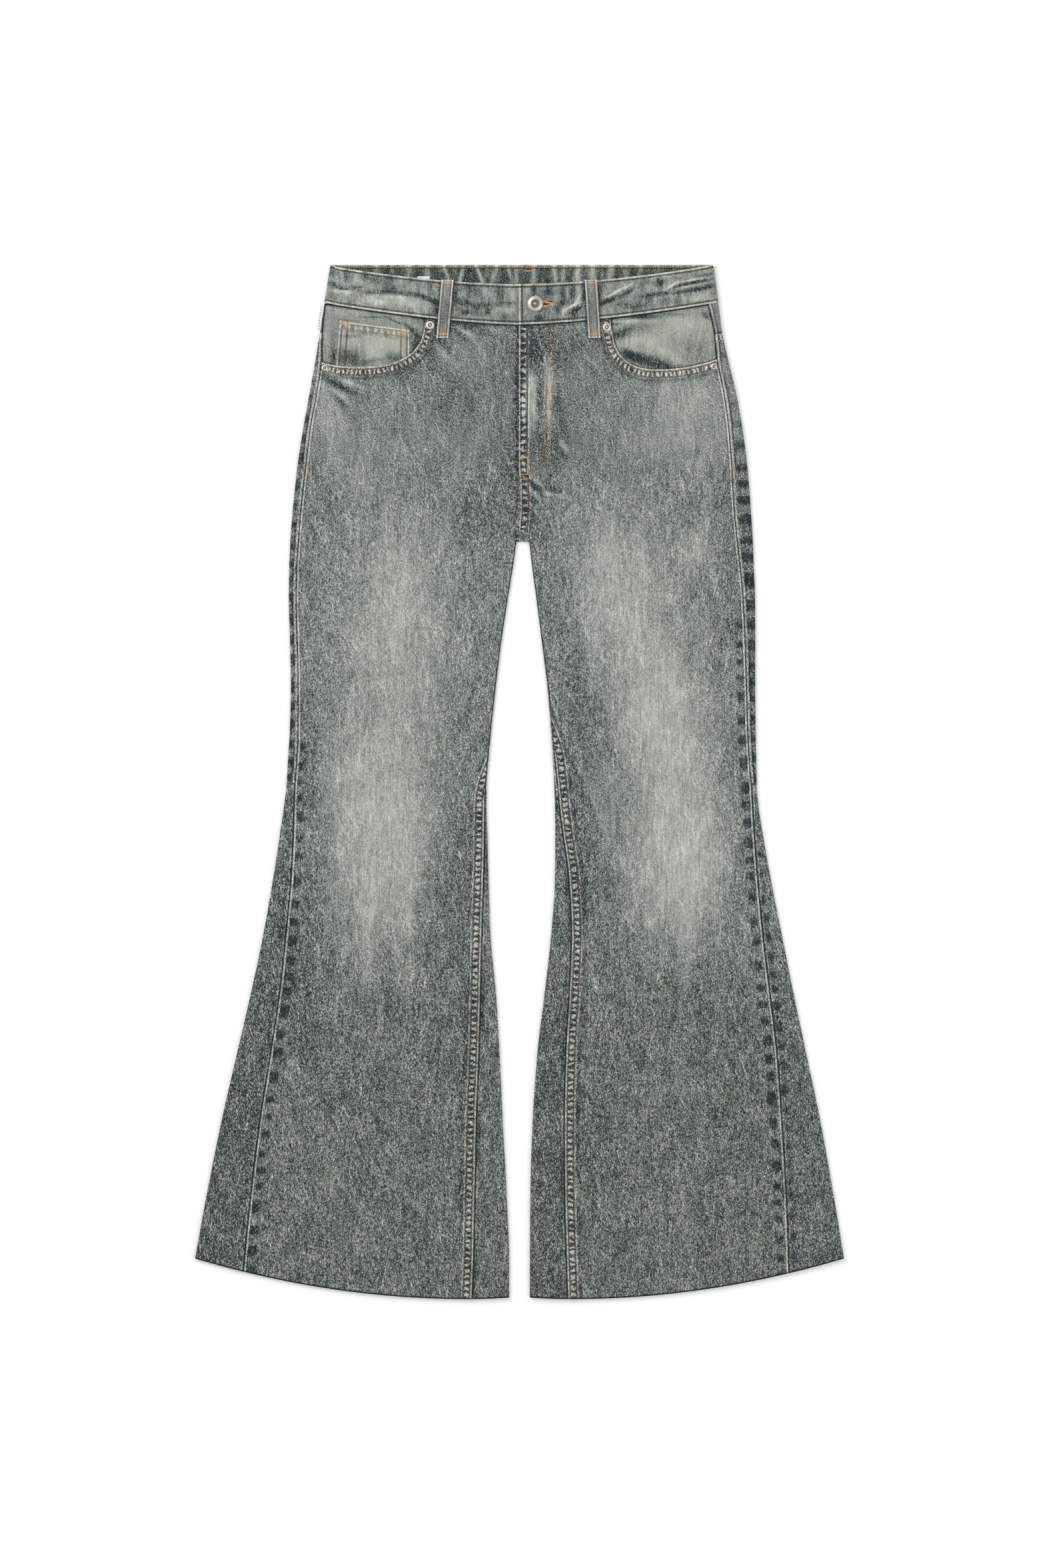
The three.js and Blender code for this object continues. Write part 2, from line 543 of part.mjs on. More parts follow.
function facing(side) {
  const leg = LEGS[side];
  const innerX = mouthStart(side) - leg.sign * FACING_UNDER;
  const paths = steps(7).map((f) =>
    [0, 0.05, 0.08, 0.13, 0.2, 0.3, 0.42, 0.56, 0.7, 0.85, 1].map((share) => {
      const bend = (x) => {
        const low = Math.min(mouthY(side, x + leg.sign * FACING_UNDER), bandBottom(x) - 12) - FACING_UNDER;
        return mix(bandBottom(x) - SEAM_GAP, low, f);
      };
      const place = (y) => {
        const x = mix(innerX, at(leg, "outseam", y) - leg.sign * SEAM_GAP, share);
        return facingUp(x, y, facingTop(side, x, y), PATCH);
      };
      return settle(470, place, bend);
    }),
  );
  return wall(paths);
}

// The coin pocket lies on the right facing and runs down out of sight under the front.
const COIN = { left: -188.6, right: -115.8, topLeft: 484.0, topRight: 474.6, bottom: 432, slant: 4.4 };

function coinPocket() {
  const paths = steps(6).map((f) =>
    steps(7).map((share) => {
      const x = mix(COIN.left, COIN.right, share) - COIN.slant * f * (1 - share);
      const top = mix(COIN.topLeft, COIN.topRight, share);
      const y = mix(top, Math.max(COIN.bottom, mouthY("right", x) - 5), f);
      return facingUp(x, y, facingTop("right", x, y) + SEAM_GAP + PATCH, PATCH);
    }),
  );
  return wall(paths);
}

// A belt loop on the front: a folded strip sewn to the band's top and to the front below the band.
const LOOP_WIDTH = 12.6;
const LOOP_THICK = 1.5;
const LOOP_LENGTH = 61;

function frontLoop(side, topX, bottomX) {
  const leg = LEGS[side];
  const topY = bandTop(topX) + 0.8;
  const paths = [0, 0.08, 0.3, 0.5, 0.66, 0.74, 0.86, 1].map((f) =>
    steps(2).map((share) => {
      const x = mix(topX, bottomX, f) + LOOP_WIDTH * (share - 0.5);
      const y = topY - LOOP_LENGTH * f;
      const arch = 0.5 * Math.sin(Math.PI * Math.min(1, f / 0.7));
      const under = y > bandBottom(x) - 3.5 ? WAIST_LOFT + arch : frontTop(leg, x, y);
      return facingUp(x, y, under + SEAM_GAP + LOOP_THICK, LOOP_THICK);
    }),
  );
  return wall(paths);
}

// A belt loop on the back lies under the band and the yoke, flat on the surface.
function backLoop(x) {
  const loop = new THREE.BoxGeometry(LOOP_WIDTH, LOOP_LENGTH, PATCH);
  return loop.translate(x, WAIST_TOP - LOOP_LENGTH / 2, PATCH / 2);
}

// A back pocket: a flat patch under the back, with a pointed foot.
function backPocket(side) {
  const corner = (distance, y) => new THREE.Vector2(CENTRE_BACK + LEGS[side].sign * distance, y);
  const shape = new THREE.Shape([
    corner(POCKET.inner, POCKET.top),
    corner(POCKET.outer, POCKET.top + POCKET.rise),
    corner(POCKET.footOuter, POCKET.foot),
    corner((POCKET.footInner + POCKET.footOuter) / 2, POCKET.point),
    corner(POCKET.footInner, POCKET.foot),
  ]);
  return new THREE.ExtrudeGeometry(shape, { depth: PATCH, bevelEnabled: false });
}

// The closed zip behind the fly, its two tapes and its chain as one strip. None of it shows.
function zip() {
  const [width, length, thickness] = [26, 106, 0.9];
  const strip = new THREE.BoxGeometry(width, length, thickness);
  const z = BACK_LIFT + CLOTH + SEAM_GAP + thickness / 2;
  return strip.translate(CENTRE_FRONT + 6, 478 - length / 2, z);
}

// The blank white tab on the inside of the back waistband, of which a sliver shows.
function label() {
  const [width, length] = [13, 21];
  const tab = new THREE.BoxGeometry(width, length, PATCH);
  return tab.translate(-101, 533.2 - length / 2, BACK_LIFT + BAND + SEAM_GAP + PATCH / 2);
}

// A lathe profile of [radius, height] pairs turned about an upright axis at x, y.
function turned(profile, segments, x, y) {
  const points = profile.map(([r, z]) => new THREE.Vector2(r, z));
  const lathe = new THREE.LatheGeometry(points, segments).rotateX(Math.PI / 2).translate(x, y, 0);
  lathe.deleteAttribute("normal");
  lathe.deleteAttribute("uv");
  const { index, attributes } = mergeVertices(lathe, 1e-4);
  const triangles = [...Array(index.count / 3).keys()].map((i) => [...index.array.slice(3 * i, 3 * i + 3)]);
  const real = triangles.filter(([a, b, c]) => a !== b && b !== c && c !== a);
  return closed([...attributes.position.array], real.flat());
}

// The tack button: a shank that stands on the underlap in the slot, and a dished cap with a centre pip.
const BUTTON = { x: 16.5, radius: 8.6, shank: 1.5, height: 3.4 };

function button() {
  const bottom = UNDERLAP_TOP + SEAM_GAP;
  const cap = OVERLAP_TOP + SEAM_GAP;
  const { x, radius, shank, height } = BUTTON;
  const profile = [
    [0, bottom],
    [shank, bottom],
    [shank, cap],
    [radius - 0.8, cap],
    [radius, cap + 0.8],
    [radius - 0.5, cap + 1.8],
    [radius - 2.2, cap + height - 0.7],
    [radius - 4.1, cap + height],
    [radius - 4.9, cap + height - 0.4],
    [radius - 5.2, cap + height - 1.7],
    [1.9, cap + height - 1.8],
    [1.3, cap + height - 0.8],
    [0, cap + height - 0.5],
  ];
  return turned(profile, 24, x, (bandBottom(x) + bandTop(x)) / 2);
}

// A rivet: a low ring with a centre pip, standing on the front.
function rivet(side, x, y, radius) {
  const z = frontTop(LEGS[side], x, y) + MOUTH_RAISE + SEAM_GAP;
  const profile = [
    [0, z],
    [radius, z],
    [radius, z + 0.5],
    [radius - 0.5, z + 1.1],
    [radius * 0.5, z + 1.3],
    [radius * 0.38, z + 0.7],
    [radius * 0.22, z + 0.8],
    [0, z + 1.4],
  ];
  return turned(profile, 14, x, y);
}

const jeans = new THREE.Group();
const cloth = (color, roughness) => new THREE.MeshStandardMaterial({ color, roughness, metalness: 0 });
const denim = cloth(0x77817e, 0.9);
const darkDenim = cloth(0x5d6869, 0.9);
const tape = cloth(0x3c434a, 0.8);
const white = cloth(0xf0efe9, 0.7);
const metal = new THREE.MeshStandardMaterial({ color: 0xb9b6ac, roughness: 0.35, metalness: 1 });

function add(name, geometry, material) {
  const mesh = new THREE.Mesh(geometry, material);
  mesh.name = name;
  jeans.add(mesh);
}

for (const side of ["right", "left"]) {
  add(`front_${side}`, frontPanel(side), denim);
  add(`back_${side}`, backPanel(side), denim);
  add(`yoke_${side}`, yoke(side), denim);
  add(`insert_outer_${side}`, insert(side, "outer"), darkDenim);
  add(`insert_inner_${side}`, insert(side, "inner"), darkDenim);
  add(`pocket_facing_${side}`, facing(side), denim);
  add(`back_pocket_${side}`, backPocket(side), denim);
  add(`belt_loop_back_${side}`, backLoop(CENTRE_BACK + LEGS[side].sign * 128), denim);
}
add("waistband", waistband(), denim);
add("coin_pocket", coinPocket(), denim);
add("belt_loop_front_right", frontLoop("right", -75.5, -81.1), denim);
add("belt_loop_front_left", frontLoop("left", 74.8, 78.8), denim);
add("belt_loop_back_centre", backLoop(CENTRE_BACK), denim);
add("zip", zip(), tape);
add("label", label(), white);
add("button", button(), metal);
add("rivet_mouth_right", rivet("right", -93.9, 479.6, 4.6), metal);
add("rivet_mouth_left", rivet("left", 91.9, 477.4, 4.6), metal);
add("rivet_side_right", rivet("right", -204.5, 434.6, 3.4), metal);
add("rivet_side_left", rivet("left", 204.2, 436.2, 3.4), metal);

export default jeans;
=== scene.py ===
"""Flared denim jeans, laid out flat on their back and seen from straight above.

Shapes are worked out in millimetres, in the part's own frame, and become meshes in metres.
The wearer's right leg is on the -X side.
"""

from math import pi, radians

import bpy
import numpy as np
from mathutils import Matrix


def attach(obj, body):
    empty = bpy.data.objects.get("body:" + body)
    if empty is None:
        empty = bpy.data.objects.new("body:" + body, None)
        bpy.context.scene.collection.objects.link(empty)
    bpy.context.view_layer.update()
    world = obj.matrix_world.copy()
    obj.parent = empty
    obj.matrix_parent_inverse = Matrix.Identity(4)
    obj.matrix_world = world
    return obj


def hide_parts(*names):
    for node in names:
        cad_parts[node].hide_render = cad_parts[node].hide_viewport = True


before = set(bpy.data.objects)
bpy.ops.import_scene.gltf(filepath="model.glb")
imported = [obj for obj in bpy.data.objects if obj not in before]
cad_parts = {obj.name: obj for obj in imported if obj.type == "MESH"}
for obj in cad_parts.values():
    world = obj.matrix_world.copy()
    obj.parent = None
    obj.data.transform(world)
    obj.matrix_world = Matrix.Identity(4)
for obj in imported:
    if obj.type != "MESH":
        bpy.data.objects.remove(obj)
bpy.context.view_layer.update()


# FRONT PANELS
# Two panels of faded denim from the waist to the raw hem. They are flat-felled to the insets along the
# inside leg, turned in along the pocket mouths, and the left one laps over the right as the fly.
CLOTH = 1.1
GAP = 0.3
LEG_LOFT, HIP_LOFT = 4.6, 6.4
BACK_LIFT = 1.3
WAIST_TOP, WAIST_BOTTOM = 543.2, 503.0
TOP_DIP, BOTTOM_DIP = 20.4, 22.8
WAIST_HALF = 206.0
CENTRE_FRONT, CENTRE_BACK = -0.7, 3.2
CROTCH, CROTCH_SEAM_END = 252.2, 263.0
OUTER_KNEE, INNER_KNEE = -1.0, -15.0
HEM_LOW, HEM_RISE, HEM_BEND_FROM = -543.2, 42.7, -285.0
FELL_WIDTH, FELL_RAISE = 9.8, 0.8
FLY_WIDTH, FLY_RAISE, FLY_BOTTOM, FLY_CURVE_FROM, FLY_UNDERLAP = 37.0, 0.7, 318.0, 345.0, 4.0
MOUTH_HEM, MOUTH_RAISE = 10.5, 0.6
SIDES = {"right": -1, "left": 1}
LOOP_WIDTH, LOOP_THICK, LOOP_LENGTH = 12.6, 1.5, 61.0
FRONT_LOOPS = {"right": (-75.5, -81.1), "left": (74.8, 78.8)}

# Distances from the middle line at each height: the outer fold, the outseam and the inseam as they
# show on the front, and the inner fold.
OUTLINE_COLUMNS = ("y", "outer", "outseam", "inseam", "inner")
OUTLINE = {
    "right": np.array([
        [545, 198.4, 197.4, 0, -4],
        [503, 205.3, 203.8, 0, -4],
        [472, 209.8, 207.0, 0, -4],
        [443, 214.5, 207.9, 0, -4],
        [408, 220.8, 212.6, 0, -4],
        [373, 227.1, 219.0, 0, -4],
        [331, 233.6, 224.1, 0, -4],
        [289, 238.1, 228.9, 0, -4],
        [252, 241.0, 231.8, 4.1, 3.1],
        [226, 242.1, 233.6, 7.8, 6.8],
        [191, 242.5, 234.3, 13.4, 12.4],
        [149, 241.3, 233.1, 19.7, 18.7],
        [100, 240.4, 232.2, 25.9, 24.7],
        [51, 241.7, 232.2, 31.2, 29.9],
        [16, 243.9, 234.0, 34.6, 33.0],
        [-1, 244.8, 235.3, 36.0, 34.4],
        [-26, 247.7, 236.1, 37.0, 34.6],
        [-54, 251.8, 236.9, 37.4, 33.7],
        [-100, 258.8, 239.3, 38.4, 32.5],
        [-159, 269.1, 244.6, 40.2, 30.6],
        [-222, 282.4, 251.4, 41.7, 24.8],
        [-285, 296.9, 260.8, 43.3, 20.9],
        [-355, 313.0, 271.9, 46.0, 17.7],
        [-425, 327.2, 280.6, 47.3, 13.9],
        [-501, 341.2, 288.3, 48.9, 10.9],
        [-546, 349.4, 291.6, 50.8, 10.8],
    ]),
    "left": np.array([
        [545, 203.6, 190.0, 0, 2],
        [503, 209.1, 197.8, 0, 2],
        [472, 213.1, 204.5, 0, 2],
        [443, 219.4, 207.3, 0, 2],
        [408, 227.8, 214.3, 0, 2],
        [373, 234.1, 219.2, 0, 2],
        [331, 239.6, 222.6, 0, 2],
        [289, 243.0, 224.9, 0, 2],
        [252, 245.3, 228.4, 11.1, 10.1],
        [226, 246.3, 231.3, 14.1, 13.1],
        [191, 247.7, 234.4, 18.9, 17.8],
        [149, 247.9, 236.5, 24.3, 23.0],
        [100, 247.9, 237.9, 30.7, 29.0],
        [51, 248.3, 239.4, 35.1, 33.1],
        [16, 249.0, 241.4, 38.4, 35.4],
        [-1, 249.3, 242.9, 40.2, 36.4],
        [-26, 251.2, 244.3, 42.7, 37.2],
        [-54, 255.6, 246.0, 46.2, 37.5],
        [-100, 263.7, 249.5, 52.4, 37.2],
        [-159, 275.4, 254.9, 55.3, 33.4],
        [-222, 288.0, 262.4, 52.9, 26.4],
        [-285, 301.3, 269.8, 49.3, 18.7],
        [-355, 316.0, 274.9, 47.7, 13.9],
        [-425, 328.6, 279.1, 48.1, 11.5],
        [-501, 341.2, 282.1, 49.9, 10.9],
        [-546, 348.4, 283.0, 51.6, 10.8],
    ]),
}

# Curved pocket mouths, by distances from the fly edge: start at the waistband, lowest point, depth
# there, and climb from there to the outseam.
MOUTHS = {
    "right": {"start": 99.0, "low": 172.0, "depth": 51.8, "climb": 4.5},
    "left": {"start": 97.4, "low": 147.0, "depth": 54.1, "climb": 9.9},
}

# Creases that stand off the cloth: middle, direction, length, width and height.
CREASES = np.array([
    [-182, 424, -26, 50, 7, 0.8],
    [-150, 300, -62, 120, 13, 0.5],
    [24, 300, -36, 44, 7, 0.7],
    [104, 330, -70, 130, 13, 0.5],
    [84, 2, -68, 170, 12, 0.9],
    [112, -96, -78, 190, 13, 0.7],
    [176, -320, -82, 210, 15, 0.7],
    [-92, -20, -105, 200, 12, 0.6],
    [-158, -150, -97, 230, 15, 0.8],
    [-128, -330, -76, 220, 14, 0.7],
    [-216, -400, -68, 190, 13, 0.7],
    [238, -420, -108, 170, 13, 0.6],
])

# Where washing has taken the dye out or left it: middle, half width, half length, lean, shade (up is
# paler), and how square the patch's falloff is.
FADES = np.array([
    [-147, -44, 60, 146, 2, 0.30, 1.7],
    [-130, 160, 64, 128, -2, 0.26, 1.2],
    [-150, 330, 62, 70, 0, 0.08, 1.0],
    [-197, 372, 20, 52, 18, 0.16, 1.0],
    [91, 262, 40, 60, 12, 0.14, 1.0],
    [112, 190, 62, 112, 10, 0.28, 1.2],
    [150, 70, 54, 96, 8, 0.34, 1.3],
    [166, -66, 54, 116, 4, 0.33, 1.7],
    [176, 385, 46, 52, 0, 0.22, 1.0],
    [110, 370, 40, 30, 20, 0.06, 1.0],
    [-70, 396, 26, 26, 30, -0.10, 1.0],
    [-46, 284, 36, 28, 0, -0.07, 1.0],
    [-116, 428, 12, 14, 30, -0.16, 1.0],
    [40, 452, 34, 14, 10, -0.20, 1.0],
    [20, 451, 12, 13, 0, -0.22, 1.3],
    [24, 352, 15, 17, 0, -0.14, 1.0],
    [52, 150, 22, 110, 12, -0.05, 1.2],
    [58, -20, 14, 60, 10, -0.08, 1.2],
    [68, -110, 16, 40, 12, -0.12, 1.2],
    [-62, -120, 14, 90, -4, -0.10, 1.2],
    [-218, -60, 12, 150, 2, -0.09, 1.2],
    [-236, -200, 14, 90, 8, -0.10, 1.2],
    [-56, -300, 14, 60, 0, -0.08, 1.2],
    [80, -380, 22, 46, 0, -0.07, 1.2],
    [-150, -330, 12, 40, 10, -0.06, 1.0],
    [210, -350, 12, 20, 0, -0.07, 1.0],
    [-200, -400, 9, 60, 12, 0.04, 1.0],
    [140, -300, 10, 60, -6, 0.05, 1.0],
    [170, -440, 8, 50, 0, 0.05, 1.0],
    [-92, -140, 12, 72, 0, -0.10, 1.4],
    [-140, -160, 12, 18, 0, 0.05, 1.0],
    [26, 344, 16, 20, 0, -0.12, 1.0],
    [-184, 411, 16, 14, 0, 0.10, 1.0],
    [181, 243, 20, 34, 0, 0.22, 1.0],
    [102, -4, 22, 34, 0, 0.10, 1.0],
    [125, -143, 12, 30, 0, 0.10, 1.0],
    [92, 285, 22, 26, 0, -0.06, 1.0],
    [66, 60, 9, 60, 10, -0.04, 1.2],
])

# Finer marks of the wash and its creases, with the same columns, and the painted shadow beside the fly's
# edge on the right panel. Their shades add up, pale and dark.
STREAKS = np.array([
    [12, 406, 6, 34, 0, 0.30, 1.4],
    [-62, 486, 26, 9, 0, -0.22, 1.0],
    [38, 398, 9, 12, 0, -0.20, 1.0],
    [44, 366, 12, 8, 30, -0.12, 1.0],
    [9, 286, 9, 26, 0, -0.20, 1.0],
    # Painted shadow beside the fly's edge, on the right panel.
    [-4, 380, 5, 110, 0, -0.10, 1.4],
    [-189, 416, 19, 2.8, -27, -0.55, 1.3],
    [-184, 422.5, 20, 2.6, -25, 0.28, 1.3],
    [-190, 407, 18, 2.8, -34, 0.24, 1.2],
    [-188, 399, 15, 2.8, -50, -0.28, 1.2],
    [-108, 462, 18, 2.4, -52, 0.14, 1.2],
    [-98, 452, 22, 2.6, -56, -0.18, 1.2],
    [-80, 456, 12, 2.4, -50, -0.20, 1.2],
    [-74, 448, 22, 2.4, -56, 0.14, 1.2],
    [-58, 474, 12, 2.2, -24, 0.20, 1.2],
    [-24, 475, 14, 2.2, -18, 0.20, 1.2],
    [-30, 469, 14, 2.4, -16, -0.16, 1.2],
    [-46, 462, 16, 2.2, -58, 0.14, 1.2],
    [-52, 440, 30, 2.4, -66, 0.10, 1.2],
    [58, 446, 26, 2.4, -60, 0.12, 1.2],
    [17, 309, 9, 2.6, -48, -0.60, 1.3],
    [14, 305, 9, 2.6, -48, 0.40, 1.3],
    [33, 308, 13, 3.2, -10, -0.34, 1.3],
    [-146.5, -248, 2.2, 34, -6, 0.20, 1.4],
    [-141, -240, 3.0, 30, -6, -0.08, 1.4],
    [-193, -236, 2.2, 28, -4, 0.18, 1.4],
    [-157, -148, 2.2, 22, -9, 0.16, 1.4],
    [-116, -196, 4, 26, -14, 0.10, 1.2],
    [30, 318, 9, 3.0, 40, -0.20, 1.2],
    [31, 408, 5, 46, 0, 0.30, 1.3],
    [21, 420, 2.6, 34, 0, -0.24, 1.4],
    # Painted shadow beside the fly's edge, on the right panel.
    [-2.4, 390, 1.6, 100, 0, -0.45, 1.6],
    [37, -30, 7, 16, 0, -0.22, 1.2],
    [-36, -14, 4, 4, 0, -0.40, 1.2],
    [73, -10, 2.2, 62, 21, 0.12, 1.6],
    [68, -10, 3, 62, 21, -0.10, 1.6],
    [-56, 480, 26, 7, 0, -0.16, 1.0],
    [-60, -428, 9, 16, 0, -0.10, 1.0],
    [84, -26, 5, 70, 22, 0.08, 1.2],
    [-59, 473, 13, 2.2, -38, 0.30, 1.2],
    [-57, 466, 14, 3.0, -38, -0.16, 1.2],
    [-84, 453, 15, 2.2, -50, 0.26, 1.2],
    [-79, 459, 9, 2.4, -45, -0.26, 1.2],
    [-91, 458, 4, 10, 10, -0.20, 1.2],
    [74, 443, 13, 2.2, -45, 0.24, 1.2],
    [70, 438, 12, 2.4, -45, -0.16, 1.2],
    [-20, 400, 8, 74, 0, -0.05, 1.3],
    [-16, 330, 9, 20, 0, -0.08, 1.2],
    [36, 334, 13, 22, 0, -0.06, 1.2],
    [14, 464, 8, 10, 0, -0.14, 1.2],
    [50, 466, 16, 10, 0, -0.05, 1.2],
    [-150, 440, 30, 2.6, -10, -0.10, 1.2],
    [196, 300, 4, 60, 4, 0.10, 1.2],
    [36, 302, 14, 2.8, -14, 0.22, 1.3],
    [19, 315, 8, 2.6, -40, 0.34, 1.3],
    [48, 352, 9, 2.8, -50, 0.30, 1.3],
    [45, 345, 9, 2.8, -50, -0.30, 1.3],
    [49, 366, 4, 20, 10, -0.16, 1.3],
    [14, 372, 3, 60, 0, 0.16, 1.3],
    [26, 448, 5, 8, 40, 0.18, 1.2],
    [14, 458, 4, 9, 0, -0.16, 1.2],
])


def smooth(start, end, value):
    """A soft step: 3t^2 - 2t^3, where t runs from 0 at start to 1 at end."""
    t = np.clip((value - start) / (end - start), 0, 1)
    return t * t * (3 - 2 * t)


def mix(a, b, share):
    """The point that lies that share of the way from a to b."""
    return a + (b - a) * share


def outline(side, column, y):
    """A cubic through one column of a leg's table that never overshoots its rows: the slope at a row
    is the harmonic mean of the slopes on both sides, or level where those differ in sign."""
    rows = OUTLINE[side][::-1]
    heights, values = rows[:, 0], rows[:, OUTLINE_COLUMNS.index(column)]
    span = np.diff(heights)
    slope = np.diff(values) / span
    before, after = slope[:-1], slope[1:]
    alike = before * after > 0
    middle = np.where(alike, 2 * before * after / np.where(alike, before + after, 1), 0)
    tangent = np.concatenate([slope[:1], middle, slope[-1:]])
    y = np.asarray(y, float)
    k = np.clip(np.searchsorted(heights, y, "right") - 1, 0, len(span) - 1)
    t = np.clip((y - heights[k]) / span[k], 0, 1)
    return SIDES[side] * (
        (2 * t**3 - 3 * t**2 + 1) * values[k]
        + (t**3 - 2 * t**2 + t) * span[k] * tangent[k]
        + (3 * t**2 - 2 * t**3) * values[k + 1]
        + (t**3 - t**2) * span[k] * tangent[k + 1]
    )


def band_edge(x, height, dip, power):
    """The waistband's edge: its height, less a dip that grows from the side folds to the middle as one
    less a power of the distance from there."""
    return height - dip * (1 - np.minimum(1, np.abs(x - CENTRE_FRONT) / WAIST_HALF) ** power)


def band_bottom(x):
    """The waistband's lower edge on the front."""
    return band_edge(x, WAIST_BOTTOM, BOTTOM_DIP, 1.5)


def band_top(x):
    """The waistband's upper edge on the front."""
    return band_edge(x, WAIST_TOP, TOP_DIP, 1.75)


def hem_bend(x, level):
    """A level line, bent more and more towards the hem: the hem rises with the square of the distance
    from the inside leg."""
    out = (np.abs(x) - 55) / 286
    rise = out * out * np.where(out > 0, HEM_RISE, 70)
    return level + np.clip((HEM_BEND_FROM - level) / (HEM_BEND_FROM - HEM_LOW), 0, 1) * rise


def mouth_start(side):
    """Where a pocket mouth leaves the waistband."""
    return CENTRE_FRONT + SIDES[side] * MOUTHS[side]["start"]


def mouth_y(side, x):
    """A pocket mouth: a quarter of a superellipse down from the waistband, then a climb by the square."""
    mouth = MOUTHS[side]
    d = SIDES[side] * (x - CENTRE_FRONT)
    reach = np.clip((mouth["low"] - d) / (mouth["low"] - mouth["start"]), 0, 1)
    drop = mouth["depth"] * (1 - reach**2.6) ** (1 / 2.6)
    beyond = np.maximum(0, d - mouth["low"]) / (WAIST_HALF - mouth["low"])
    below = band_bottom(mouth_start(side)) - drop + mouth["climb"] * beyond**2
    return np.where(d <= mouth["start"], band_bottom(x), below)


def loft(y):
    """Height of the front above the surface: level in the legs, more at the hips."""
    return mix(LEG_LOFT, HIP_LOFT, smooth(270, 400, y))


def edge_lift(y):
    """Height of the back above the surface at its side folds."""
    return BACK_LIFT * smooth(370, 415, y)


def crease_height(x, y):
    """Each crease is a ridge with a bell across it, and a squarer bell along it."""
    height = np.zeros(np.shape(x))
    for crease_x, crease_y, angle, length, width, rise in CREASES:
        dx, dy, turn = x - crease_x, y - crease_y, radians(angle)
        along = 2 * (dx * np.cos(turn) + dy * np.sin(turn)) / length
        across = (dy * np.cos(turn) - dx * np.sin(turn)) / width
        height = height + rise * np.exp(-(across**2) - along**4)
    return height


def front_top(side, x, y):
    """Height of the cloth that faces up: level across the leg, with a quarter circle down to each fold."""
    sign = SIDES[side]
    outside = sign * (outline(side, "outer", y) - x)
    inside = sign * (x - outline(side, "inner", y))
    depth = np.where(y <= CROTCH, np.minimum(outside, inside), outside)
    radius = (loft(y) - edge_lift(y)) / 2
    rest = np.maximum(0, radius - np.maximum(0, depth))
    roll = np.sqrt(np.maximum(0, radius**2 - rest**2)) - radius
    return loft(y) + roll + crease_height(x, y) * smooth(0, 14, depth)


def front_edge(side, y):
    """The panel's inner edge: the fly above the crotch, with the right panel tucked under, then the
    inseam."""
    sign = SIDES[side]
    tuck = FLY_UNDERLAP * smooth(305, 333, y) if side == "right" else 0
    centre = CENTRE_FRONT + tuck + 1.6 * smooth(333, 305, y) * smooth(CROTCH_SEAM_END, 290, y)
    inseam = outline(side, "inseam", np.minimum(y, CROTCH))
    return np.where(y >= CROTCH_SEAM_END, centre, inseam) + sign * GAP / 2


def beside_path(path, x, y):
    """Distance from each point to the nearest point of a finely stepped path, and how far along the
    path that nearest point lies."""
    length = np.concatenate([[0], np.cumsum(np.hypot(*np.diff(path, axis=0).T))])
    flat = np.stack([np.ravel(x), np.ravel(y)], 1)
    gaps = np.hypot(flat[:, None, 0] - path[None, :, 0], flat[:, None, 1] - path[None, :, 1])
    nearest = gaps.argmin(1)
    return gaps.min(1).reshape(np.shape(x)), length[nearest].reshape(np.shape(x))


def mouth_path(side, inset=0.0):
    """The pocket mouth as points, moved into the panel by the inset along the curve's normal."""
    mouth, sign = MOUTHS[side], SIDES[side]
    turn = np.linspace(0, np.pi / 2, 240)
    along = mouth["low"] - (mouth["low"] - mouth["start"]) * np.cos(turn) ** (2 / 2.6)
    drop = mouth["depth"] * np.sin(turn) ** (2 / 2.6)
    d = np.concatenate([along, np.linspace(mouth["low"], 209, 60)[1:]])
    beyond = np.maximum(0, d - mouth["low"]) / (WAIST_HALF - mouth["low"])
    fall = np.concatenate([drop, np.full(59, mouth["depth"])]) - mouth["climb"] * beyond**2
    x = CENTRE_FRONT + sign * d
    y = band_bottom(mouth_start(side)) - fall
    step_x, step_y = np.gradient(x), np.gradient(y)
    size = np.hypot(step_x, step_y) + 1e-9
    return np.stack([x + sign * inset * step_y / size, y - sign * inset * step_x / size], 1)


def fly_reach(y):
    """Width of the fly's stitched facing at each height: even, then a quarter of an ellipse to its foot."""
    curve = np.maximum(0, FLY_CURVE_FROM - y) / (FLY_CURVE_FROM - FLY_BOTTOM)
    return np.where(curve < 1, FLY_WIDTH * np.sqrt(np.maximum(0, 1 - curve**2)), 0)


def rolled_under(side, y):
    """How far the felled seam is turned under the leg above the knee."""
    start = -20 if side == "right" else 20
    return 18 * smooth(start, start + 85, y)


def front_surface(side, x, y, mouth=None):
    """Height of a front panel's face: the level cloth, plus the felled seam, the fly and the mouth's hem
    where they double it, plus a ripple between the rows of stitches, less what dives under the fly."""
    sign = SIDES[side]
    d = sign * (x - front_edge(side, y))
    if mouth is None:
        mouth = beside_path(mouth_path(side), x, y)[0]
    ripple = np.sin(y / 1.25 + 1.5 * np.sin(y / 9.0)) * 0.5 + 0.5 * np.sin(y / 2.1 + x / 5)
    fell = smooth(FELL_WIDTH + 0.7, FELL_WIDTH - 0.3, d) * smooth(30, OUTER_KNEE, y)
    turned = smooth(MOUTH_HEM + 0.5, MOUTH_HEM - 0.5, mouth)
    z = front_top(side, x, y) + FELL_RAISE * fell + MOUTH_RAISE * turned
    z = z + 0.16 * fell * ripple * smooth(1, 3, d) + 0.12 * turned * ripple * smooth(1, 3, mouth)
    if side == "right":
        return z - (CLOTH + GAP) * smooth(17, 5, d) * smooth(290, 305, y)
    crotch = np.where((y < 330) & (y >= CROTCH_SEAM_END), FELL_WIDTH, 0)
    doubled = smooth(0.6, -0.6, d - np.maximum(fly_reach(y), crotch))
    return z + FLY_RAISE * doubled + 0.1 * ripple * doubled * smooth(9, 3, d)


